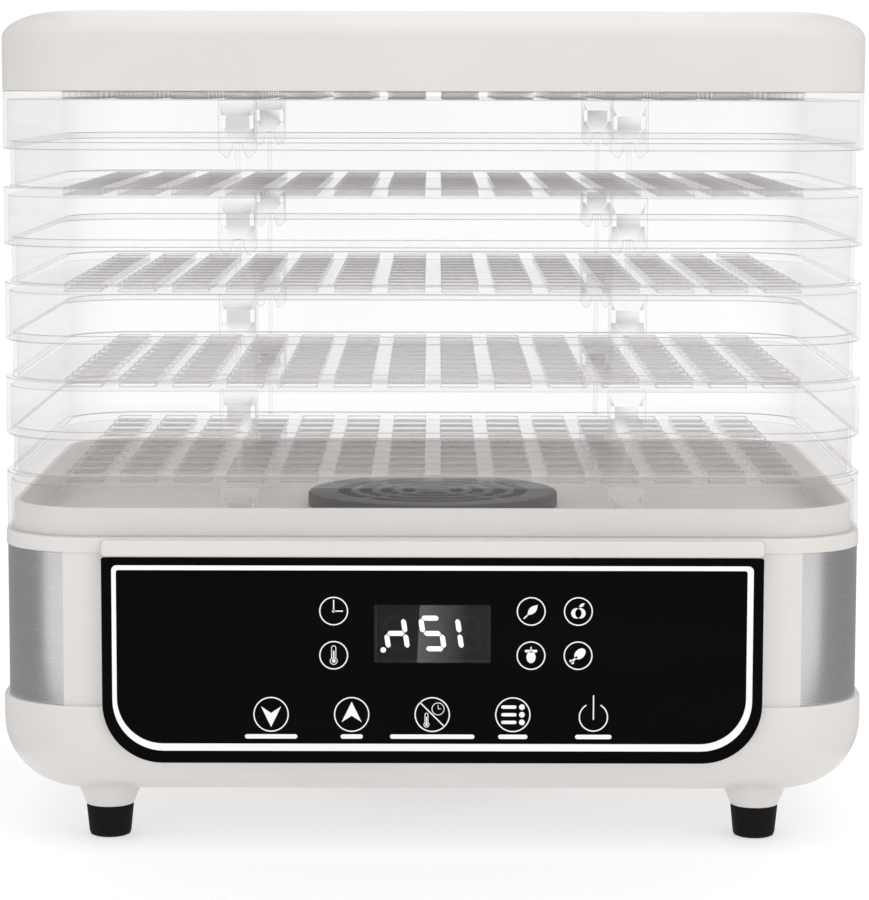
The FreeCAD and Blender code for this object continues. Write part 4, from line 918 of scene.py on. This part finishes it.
def strip_surface(side):
    """A steel strip: a thin upright section carried back along the side and round the front corner,
    with its length and height as UV."""
    s, b = bpy.context.scene.dehydrator_stack, bpy.context.scene.dehydrator_base
    low, high = STRIP_LOW[2] + 0.05 * MM, STRIP_HIGH[2] - 0.05 * MM
    (core, way, radius), let_in = band_path(HALF_X, HALF_Y, s.corner, b.band_start, STRIP_HIGH[1])
    mine = (let_in > 0.5) & (core[:, 0] * side > 0)
    core, way, radius = core[mine], way[mine], radius[mine]
    section = [(-STEEL_THICK, low), (0, low), (0, high), (-STEEL_THICK, high)]
    profile = eased(section, 0.18 * MM)
    rows, faces = swept((core, way, radius), profile, closed=True, ring=False)
    count = len(profile)
    last = (len(core) - 1) * count
    faces = faces + [tuple(range(count))[::-1], tuple(range(last, last + count))]
    plan = core + radius[:, None] * way
    run = np.append(0, np.cumsum(np.linalg.norm(np.diff(plan, axis=0), axis=1)))
    uv = np.column_stack([np.repeat(run, count), rows[:, 2] + np.tile(profile[:, 0], len(core))])
    return (rows, faces), uv


def foot_surface(node):
    """A rubber foot: a profile with a rounded tread edge, two shallow rings and a slight bulge."""
    low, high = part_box(node)
    middle = ((low[0] + high[0]) / 2, (low[1] + high[1]) / 2)
    profile = np.array([
        (0, 0.35, 0), (4.2, 0.35, 0), (4.6, 0, 1), (6.8, 0, 0), (7.8, 0.45, 1), (8.2, 1.6, 0),
        (8.45, 4.0, 0), (8.75, 7.0, 0), (9.1, 10.6, 0), (9.22, 11.7, 0), (9.05, 12.3, 1), (8.7, 12.5, 0),
        (4, 12.5, 0), (4, 17.2, 0), (3.7, 17.5, 1), (0, 17.5, 0),
    ])
    profile[:, :2] *= MM
    return turned(profile, middle, 48)


def front_path():
    """The panel's outline: rounded below, all but square above."""
    p = bpy.context.scene.dehydrator_panel
    low, high = PANEL_LOW[2], PANEL_HIGH[2]
    radii = [0.8 * MM, 0.8 * MM, p.corner, p.corner]
    return corner_path(PANEL_HIGH[0], (high - low) / 2, radii, 14, (0, (high + low) / 2))


def fascia_surface():
    """The white front moulding: a face with the display opening, side walls, and the lip above."""
    face, thick, deep = -PANEL_HIGH[1], 2.2 * MM, 18 * MM
    border = -6 * MM
    low, high = PANEL_LOW[2], STRIP_HIGH[2] - 0.3 * MM
    radii = np.array([7, 7, 23, 23]) * MM
    path = corner_path(PANEL_HIGH[0], (high - low) / 2, radii, 14, (0, (high + low) / 2))
    section = [
        (border, face - thick),
        (-thick, face - thick),
        (-thick, face - deep),
        (0, face - deep),
        (0, face),
        (border, face),
    ]
    window = glass_path(0.5 * MM)
    parts = [
        swept(path, eased(section, 0.4 * MM, closed=False)),
        sheet(loop(path, border), [window], face - thick, face),
    ]
    lip_low, lip_high = PANEL_HIGH[2] + 0.05 * MM, FRONT_HIGH[2]
    lip = corner_path(PANEL_HIGH[0], (lip_high - lip_low) / 2, 1.6 * MM, 6, (0, (lip_high + lip_low) / 2))
    parts.append(slab(lip, face - thick, -FRONT_LOW[1], 1.0 * MM, back_ease=0.2 * MM))
    return upright(joined(parts))


def glass_path(reach=0.0):
    """The display window's outline, grown by a reach."""
    middle = ((GLASS_LOW[0] + GLASS_HIGH[0]) / 2, (GLASS_LOW[2] + GLASS_HIGH[2]) / 2)
    half_x, half_z = (GLASS_HIGH[0] - GLASS_LOW[0]) / 2, (GLASS_HIGH[2] - GLASS_LOW[2]) / 2
    return corner_path(half_x + reach, half_z + reach, 0.4 * MM, 3, middle)


def panel_surface():
    """The black sheet with its display opening."""
    back = -PANEL_HIGH[1] + 0.02 * MM
    return upright(slab(front_path(), back, PRINT_FACE, 0.3 * MM, [glass_path(0.1 * MM)]))


def window_surface():
    """The smoked window, a hair behind the black sheet."""
    back, front = -GLASS_HIGH[1] + 0.02 * MM, -GLASS_LOW[1] - 0.07 * MM
    return upright(slab(glass_path(), back, front, 0.12 * MM))


def outlined(path, line, low, high):
    """A flat line that follows a path: a thin section carried along it."""
    return swept(path, square_ring(-line, 0, low, high)[:4], closed=True)


def arc_shape(middle, radius, line, first, last, low, high, steps=40):
    """Part of a flat ring between two angles, with square ends."""
    turn = np.linspace(first, last, steps)
    way = directions(turn)
    outline = np.concatenate([radius * way, ((radius - line) * way)[::-1]]) + np.asarray(middle)
    return slab(corner_points_path(outline), low, high)


def oval(middle, wide, tall, lean=0.0, steps=28):
    """An ellipse turned by an angle."""
    turn = np.arange(steps) * 2 * math.pi / steps
    along = np.column_stack([wide * np.cos(turn), tall * np.sin(turn)])
    return spun(along, lean, middle)


def leaf(middle, long, wide, lean, steps=14):
    """Two sine arcs from tip to tip, turned by an angle."""
    t = np.linspace(0, 1, steps)
    arc = wide * np.sin(math.pi * t)
    upper = np.column_stack([long * (0.5 - t), arc])
    lower = np.column_stack([long * (t - 0.5), -arc])[1:-1]
    return spun(np.concatenate([upper, lower]), lean, middle)


class Marks:
    """Collects printed marks, given in millimetres about a middle, between two levels."""

    def __init__(self, low, high):
        self.low, self.high, self.parts = low, high, []

    def fill(self, path):
        self.parts.append(slab(path, self.low, self.high))

    def at(self, middle, across, up):
        return (middle[0] + across * MM, middle[1] + up * MM)

    def ring(self, middle, radius, line):
        self.outline(round_path(middle, radius, 48), line)

    def outline(self, path, line):
        self.parts.append(outlined(path, line, self.low, self.high))

    def bar(self, middle, start, end, width):
        self.fill(capsule_path(self.at(middle, *start), self.at(middle, *end), width * MM / 2))

    def dot(self, middle, across, up, radius):
        self.fill(round_path(self.at(middle, across, up), radius * MM, 20))

    def shape(self, middle, points):
        self.fill(corner_points_path([self.at(middle, *point) for point in points]))


def thermometer(marks, middle, size):
    """An outlined tube with a bulb and a filled column."""
    line = 0.28 * MM
    ends = marks.at(middle, 0, -0.9 * size), marks.at(middle, 0, 3.0 * size)
    marks.outline(capsule_path(*ends, 1.0 * size * MM, 10), line)
    marks.ring(marks.at(middle, 0, -2.3 * size), 1.55 * size * MM, line)
    marks.dot(middle, 0, -2.3 * size, 0.75 * size)
    marks.bar(middle, (0, -1.4 * size), (0, 1.6 * size), 0.6 * size)


def print_surface():
    """The white print: border line, indicator rings, touch spots and plain caption bars."""
    p = bpy.context.scene.dehydrator_panel
    marks = Marks(PRINT_FACE - 0.01 * MM, PRINT_FACE + p.print_lift)
    outer_radii, inner_radii = np.array([2, 2, 19.5, 19.5]) * MM, np.array([1, 1, 17.5, 17.5]) * MM
    outer = loop(corner_path(121.8 * MM, 35.7 * MM, outer_radii, 14, (0, 76.2 * MM)))
    inner = loop(corner_path(119.8 * MM, 33.4 * MM, inner_radii, 14, (-0.3 * MM, 76.7 * MM)))
    loops = [(outer, marks.low), (outer, marks.high), (inner, marks.high), (inner, marks.low)]
    grid_rows = np.stack([level_rows(flat, level) for flat, level in loops], axis=1)
    marks.parts.append(net(grid_rows, True, True))
    line = p.line / MM
    clock, heat = (-37.5 * MM, 94.5 * MM), (-37.5 * MM, 77.5 * MM)
    herb, nut = (37.5 * MM, 94.5 * MM), (37.5 * MM, 77.5 * MM)
    fruit, meat = (55.4 * MM, 94.5 * MM), (55.4 * MM, 77.5 * MM)
    for middle in (clock, heat, herb, nut, fruit, meat):
        marks.ring(middle, p.small_ring, p.line)
    marks.bar(clock, (0, 0), (0, 4.1), line)
    marks.bar(clock, (0, 0), (3.3, 0), line)
    marks.dot(clock, 0, 0, 0.6)
    thermometer(marks, heat, 0.95)
    marks.fill(leaf(marks.at(herb, 0.5, 0.5), 5.6 * MM, 1.25 * MM, math.radians(45)))
    marks.bar(herb, (-1.6, -1.6), (-2.7, -2.7), 0.5)
    marks.fill(oval(marks.at(nut, 0, -0.6), 1.75 * MM, 2.3 * MM))
    marks.bar(nut, (-1.9, 1.75), (1.9, 1.75), 1.0)
    marks.bar(nut, (0, 2.2), (0, 3.2), 0.5)
    marks.dot(fruit, -0.75, -0.7, 2.0)
    marks.dot(fruit, 0.75, -0.7, 2.0)
    marks.fill(leaf(marks.at(fruit, 1.3, 2.4), 2.6 * MM, 0.55 * MM, math.radians(35)))
    marks.fill(oval(marks.at(meat, 0.7, 0.7), 2.5 * MM, 1.75 * MM, math.radians(45)))
    marks.bar(meat, (-0.6, -0.6), (-2.3, -2.3), 0.8)
    marks.dot(meat, -2.75, -2.05, 0.55)
    marks.dot(meat, -2.05, -2.75, 0.55)
    keys = [(step * p.key_pitch, p.key_level) for step in (-2, -1, 0, 1, 2)]
    for middle in keys[:4]:
        marks.ring(middle, p.key_ring, p.line)
    marks.shape(keys[0], [(0, 0.5), (-3.85, 3.1), (0, -4.9), (3.85, 3.1)])
    marks.shape(keys[1], [(0, -0.5), (3.85, -3.0), (0, 4.9), (-3.85, -3.0)])
    marks.bar(keys[2], (-4.55, 4.55), (4.55, -4.55), line)
    thermometer(marks, marks.at(keys[2], -2.2, -2.2), 0.72)
    marks.ring(marks.at(keys[2], 2.2, 2.2), 2.45 * MM, 0.28 * MM)
    marks.bar(keys[2], (2.2, 2.2), (2.2, 3.6), 0.25)
    marks.bar(keys[2], (2.2, 2.2), (3.2, 2.2), 0.25)
    for level in (2.95, 0, -2.95):
        marks.bar(keys[3], (-3.8, level), (0.75, level), 1.3)
        marks.dot(keys[3], 3.45, level, 1.1)
    power = marks.at(keys[4], 0, -0.9)
    gap = math.radians(30)
    marks.parts.append(
        arc_shape(power, 5.6 * MM, p.line, math.pi / 2 + gap, 2.5 * math.pi - gap, marks.low, marks.high)
    )
    marks.bar(power, (0, -0.8), (0, 8.3), line)
    for middle, wide in zip(keys, (19.9, 8.4, 32.1, 11.1, 13.8)):
        reach = wide / 2 - 0.8
        marks.bar((middle[0], 46.1 * MM), (-reach, 0), (reach, 0), 1.7)
    return upright(joined(marks.parts))


LIT = ({"right high", "middle", "left low", "right low"},
       {"top", "left high", "middle", "right low", "bottom"},
       {"left high", "left low"})


def digit_surfaces():
    """Lit and unlit segments.  A segment is a bar with pointed ends between two corners of the
    figure; height times the lean shifts every point sideways."""
    p = bpy.context.scene.dehydrator_panel
    half_w, half_h = p.digit_width / 2, p.digit_height / 2
    level = (GLASS_LOW[2] + GLASS_HIGH[2]) / 2
    face = -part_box("led_display")[0][1]
    stretches = {
        "top": ((-1, 1), (1, 1)),
        "middle": ((-1, 0), (1, 0)),
        "bottom": ((-1, -1), (1, -1)),
        "left high": ((-1, 0), (-1, 1)),
        "right high": ((1, 0), (1, 1)),
        "left low": ((-1, -1), (-1, 0)),
        "right low": ((1, -1), (1, 0)),
    }
    groups = {True: [], False: []}
    scale = np.array([half_w, half_h])
    for place, lit in zip((-1, 0, 1), LIT):
        for name, (start, end) in stretches.items():
            a, b = np.array(start) * scale, np.array(end) * scale
            along = (b - a) / np.linalg.norm(b - a)
            side = np.array([along[1], -along[0]]) * 0.95 * MM
            trim = along * 0.3 * MM
            tip = along * 0.85 * MM
            outline = np.array([a + trim, a + trim + tip + side, b - trim - tip + side, b - trim,
                                b - trim - tip - side, a + trim + tip - side])
            outline[:, 0] += outline[:, 1] * p.digit_lean + place * p.digit_pitch
            outline[:, 1] += level
            path = corner_points_path(outline)
            lift = 0.1 * MM if name in lit else 0.06 * MM
            groups[name in lit].append(slab(path, face - 0.05 * MM, face + lift))
    dot = round_path((-18.7 * MM, level - 6.4 * MM), 1.05 * MM, 20)
    groups[True].append(slab(dot, face - 0.05 * MM, face + 0.1 * MM))
    return {lit: upright(joined(parts)) for lit, parts in groups.items()}


# ---------------------------------------------------------------- operators

class DEHYDRATOR_OT_lid(bpy.types.Operator):
    """Build the white lid with its air slots"""
    bl_idname = "dehydrator.lid"
    bl_label = "Lid"

    def execute(self, context):
        white = finish_for("white_plastic")
        make_piece("lid_moulding", lid_surface(), white, "lid", ("lid",))
        return {"FINISHED"}


class DEHYDRATOR_OT_trays(bpy.types.Operator):
    """Build the five clear trays"""
    bl_idname = "dehydrator.trays"
    bl_label = "Trays"

    def execute(self, context):
        for node in TRAYS:
            surface = tray_surface(floor_level(node))
            clear = finish_for("clear_plastic")
            piece = make_piece(node + "_moulding", surface, clear, node, (node,))
            piece.visible_shadow = False
        return {"FINISHED"}


class DEHYDRATOR_OT_base(bpy.types.Operator):
    """Build the white tub, the deck on it and the fan guard"""
    bl_idname = "dehydrator.base"
    bl_label = "Base and deck"

    def execute(self, context):
        white = finish_for("white_plastic")
        make_piece("tub", housing_surface(), white, "base", ("base_housing",))
        make_piece("deck_moulding", deck_surface(), white, "base", ("deck",))
        black = finish_for("black_plastic")
        make_piece("guard_moulding", guard_surface(), black, "base", ("fan_guard",))
        return {"FINISHED"}


class DEHYDRATOR_OT_strips(bpy.types.Operator):
    """Build the two brushed steel strips"""
    bl_idname = "dehydrator.strips"
    bl_label = "Steel strips"

    def execute(self, context):
        for side, name in ((-1, "left"), (1, "right")):
            surface, uv = strip_surface(side)
            steel, node = finish_for("steel_strip"), "steel_strip_" + name
            make_piece("strip_" + name, surface, steel, "base", (node,), uv)
        return {"FINISHED"}


class DEHYDRATOR_OT_front(bpy.types.Operator):
    """Build the front moulding, the black panel, its print, window and digits"""
    bl_idname = "dehydrator.front"
    bl_label = "Front panel"

    def execute(self, context):
        white, window = finish_for("white_plastic"), finish_for("window")
        make_piece("front_moulding", fascia_surface(), white, "base", ("fascia",))
        make_piece("panel_sheet", panel_surface(), finish_for("panel"), "base", ("control_panel",))
        make_piece("panel_print", print_surface(), finish_for("print"), "base")
        make_piece("window_sheet", window_surface(), window, "base", ("display_window",))
        digits = digit_surfaces()
        make_piece("segments_lit", digits[True], finish_for("lit"), "base")
        make_piece("segments_unlit", digits[False], finish_for("unlit"), "base")
        return {"FINISHED"}


class DEHYDRATOR_OT_feet(bpy.types.Operator):
    """Build the four rubber feet"""
    bl_idname = "dehydrator.feet"
    bl_label = "Feet"

    def execute(self, context):
        for place in ("front_left", "front_right", "rear_left", "rear_right"):
            node = "foot_" + place
            make_piece("rubber_" + node, foot_surface(node), finish_for("rubber"), "base", (node,))
        return {"FINISHED"}


class DEHYDRATOR_OT_inside(bpy.types.Operator):
    """Give every piece kept from the engineering model its finish"""
    bl_idname = "dehydrator.inside"
    bl_label = "Inner pieces"

    def execute(self, context):
        slots = {part["node"]: part["material_slot"] for part in frame["record"]["subparts"]}
        for name, node in frame["nodes"].items():
            if slots[name] == "steel_strip":
                continue
            finish = finish_for(slots[name])
            for slot in node.material_slots:
                slot.material = finish
        return {"FINISHED"}


def dark_flag(name, side):
    """A dark sheet lying beside the object and standing up beyond that; it only shows in gloss."""
    finish = Finish(name, 0.9, Emission_Color=(1, 1, 1, 1), Emission_Strength=0.34)
    grain = finish.noise(3.0, 2.0)
    finish.to("Base Color", finish.mottled(grain, (0.02, 0.02, 0.02), (0.03, 0.03, 0.03)))
    section = ((0.20, 0.001), (0.42, 0.001), (0.42, 2.5))
    rows = [(side * across, y, z) for y in (-0.24, 1.6) for across, z in section]
    mesh = bpy.data.meshes.new(name)
    mesh.from_pydata(rows, [], [(0, 1, 4, 3), (1, 2, 5, 4)])
    mesh.materials.append(finish.material)
    flag = bpy.data.objects.new(name, mesh)
    for ray in ("camera", "diffuse", "transmission", "shadow", "volume_scatter"):
        setattr(flag, "visible_" + ray, False)
    return flag


class DEHYDRATOR_OT_stage(bpy.types.Operator):
    """Set up the floor, the light and the camera"""
    bl_idname = "dehydrator.stage"
    bl_label = "Stage"

    def execute(self, context):
        sizes = context.scene.dehydrator_stage
        rows = np.linspace(0, 1, 40)[:, None]
        sweep = np.clip((rows - 0.55) / 0.25, 0, 1) * math.pi / 2
        depth = -1.6 + 7.5 * np.minimum(rows, 0.55) / 0.55 + 1.5 * np.sin(sweep)
        rise = 1.5 * (1 - np.cos(sweep)) + 6 * np.clip(rows - 0.8, 0, 1) / 0.2
        across = np.linspace(-6, 6, 2)[None]
        grid = np.stack(np.broadcast_arrays(across, depth, rise, 0 * rise), axis=-1).transpose(1, 0, 2)
        points, faces = net(grid)
        mesh = bpy.data.meshes.new("floor")
        mesh.from_pydata(points[:, :3].tolist(), [], faces)
        mesh.shade_smooth()
        mesh.materials.append(pale_floor((0.50, 0.50, 0.505), 0.52))
        floor = bpy.data.objects.new("floor", mesh)
        context.scene.collection.objects.link(floor)
        lamps = (
            ("key", (1.2, -1.5, 1.7), (0, 0, 0.15), 1.4, 7.0),
            ("top", (0.0, 0.3, 2.2), (0, 0, 0.0), 2.0, 7.0),
        )
        for name, place, aim, size, power in lamps:
            light = bpy.data.lights.new(name, "AREA")
            light.shape = "SQUARE"
            light.size = size
            light.energy = power
            holder = bpy.data.objects.new(name, light)
            holder.location = place
            holder.rotation_euler = (Vector(aim) - Vector(place)).to_track_quat("-Z", "Y").to_euler()
            context.scene.collection.objects.link(holder)
        for side, name in ((-1, "flag_left"), (1, "flag_right")):
            context.scene.collection.objects.link(dark_flag(name, side))
        world = bpy.data.worlds.new("white surround")
        world.use_nodes = True
        world.node_tree.nodes["Background"].inputs["Color"].default_value = (1, 1, 1, 1)
        world.node_tree.nodes["Background"].inputs["Strength"].default_value = sizes.sky
        context.scene.world = world
        context.scene.view_settings.view_transform = "Standard"
        context.scene.cycles.transparent_max_bounces = 64
        camera = bpy.data.cameras.new("camera")
        camera.lens = sizes.lens
        camera.clip_start = 0.05
        camera.clip_end = 50
        holder = bpy.data.objects.new("camera", camera)
        holder.location = sizes.camera_place
        holder.rotation_euler = (math.pi / 2 - sizes.pitch, sizes.roll, 0)
        context.scene.collection.objects.link(holder)
        context.scene.camera = holder
        return {"FINISHED"}


class DEHYDRATOR_PT_pieces(bpy.types.Panel):
    """Lists the pieces"""
    bl_idname = "DEHYDRATOR_PT_pieces"
    bl_label = "Food dehydrator"
    bl_space_type = "VIEW_3D"
    bl_region_type = "UI"
    bl_category = "Dehydrator"

    def draw(self, context):
        for operator in OPERATORS:
            self.layout.operator(operator.bl_idname)


SETTINGS = (
    ("dehydrator_stack", StackSizes),
    ("dehydrator_base", BaseSizes),
    ("dehydrator_panel", PanelSizes),
    ("dehydrator_finishes", Finishes),
    ("dehydrator_stage", StageSizes),
)
OPERATORS = (
    DEHYDRATOR_OT_stage,
    DEHYDRATOR_OT_lid,
    DEHYDRATOR_OT_trays,
    DEHYDRATOR_OT_base,
    DEHYDRATOR_OT_strips,
    DEHYDRATOR_OT_front,
    DEHYDRATOR_OT_feet,
    DEHYDRATOR_OT_inside,
)


def register():
    for name, group in SETTINGS:
        bpy.utils.register_class(group)
        setattr(bpy.types.Scene, name, PointerProperty(type=group))
    for item in OPERATORS + (DEHYDRATOR_PT_pieces,):
        bpy.utils.register_class(item)


def unregister():
    for item in reversed(OPERATORS + (DEHYDRATOR_PT_pieces,)):
        bpy.utils.unregister_class(item)
    for name, group in reversed(SETTINGS):
        delattr(bpy.types.Scene, name)
        bpy.utils.unregister_class(group)


def main():
    register()
    bpy.ops.dehydrator.stage()
    bpy.ops.dehydrator.lid()
    bpy.ops.dehydrator.trays()
    bpy.ops.dehydrator.base()
    bpy.ops.dehydrator.strips()
    bpy.ops.dehydrator.front()
    bpy.ops.dehydrator.feet()
    bpy.ops.dehydrator.inside()


if __name__ == "__main__":
    main()
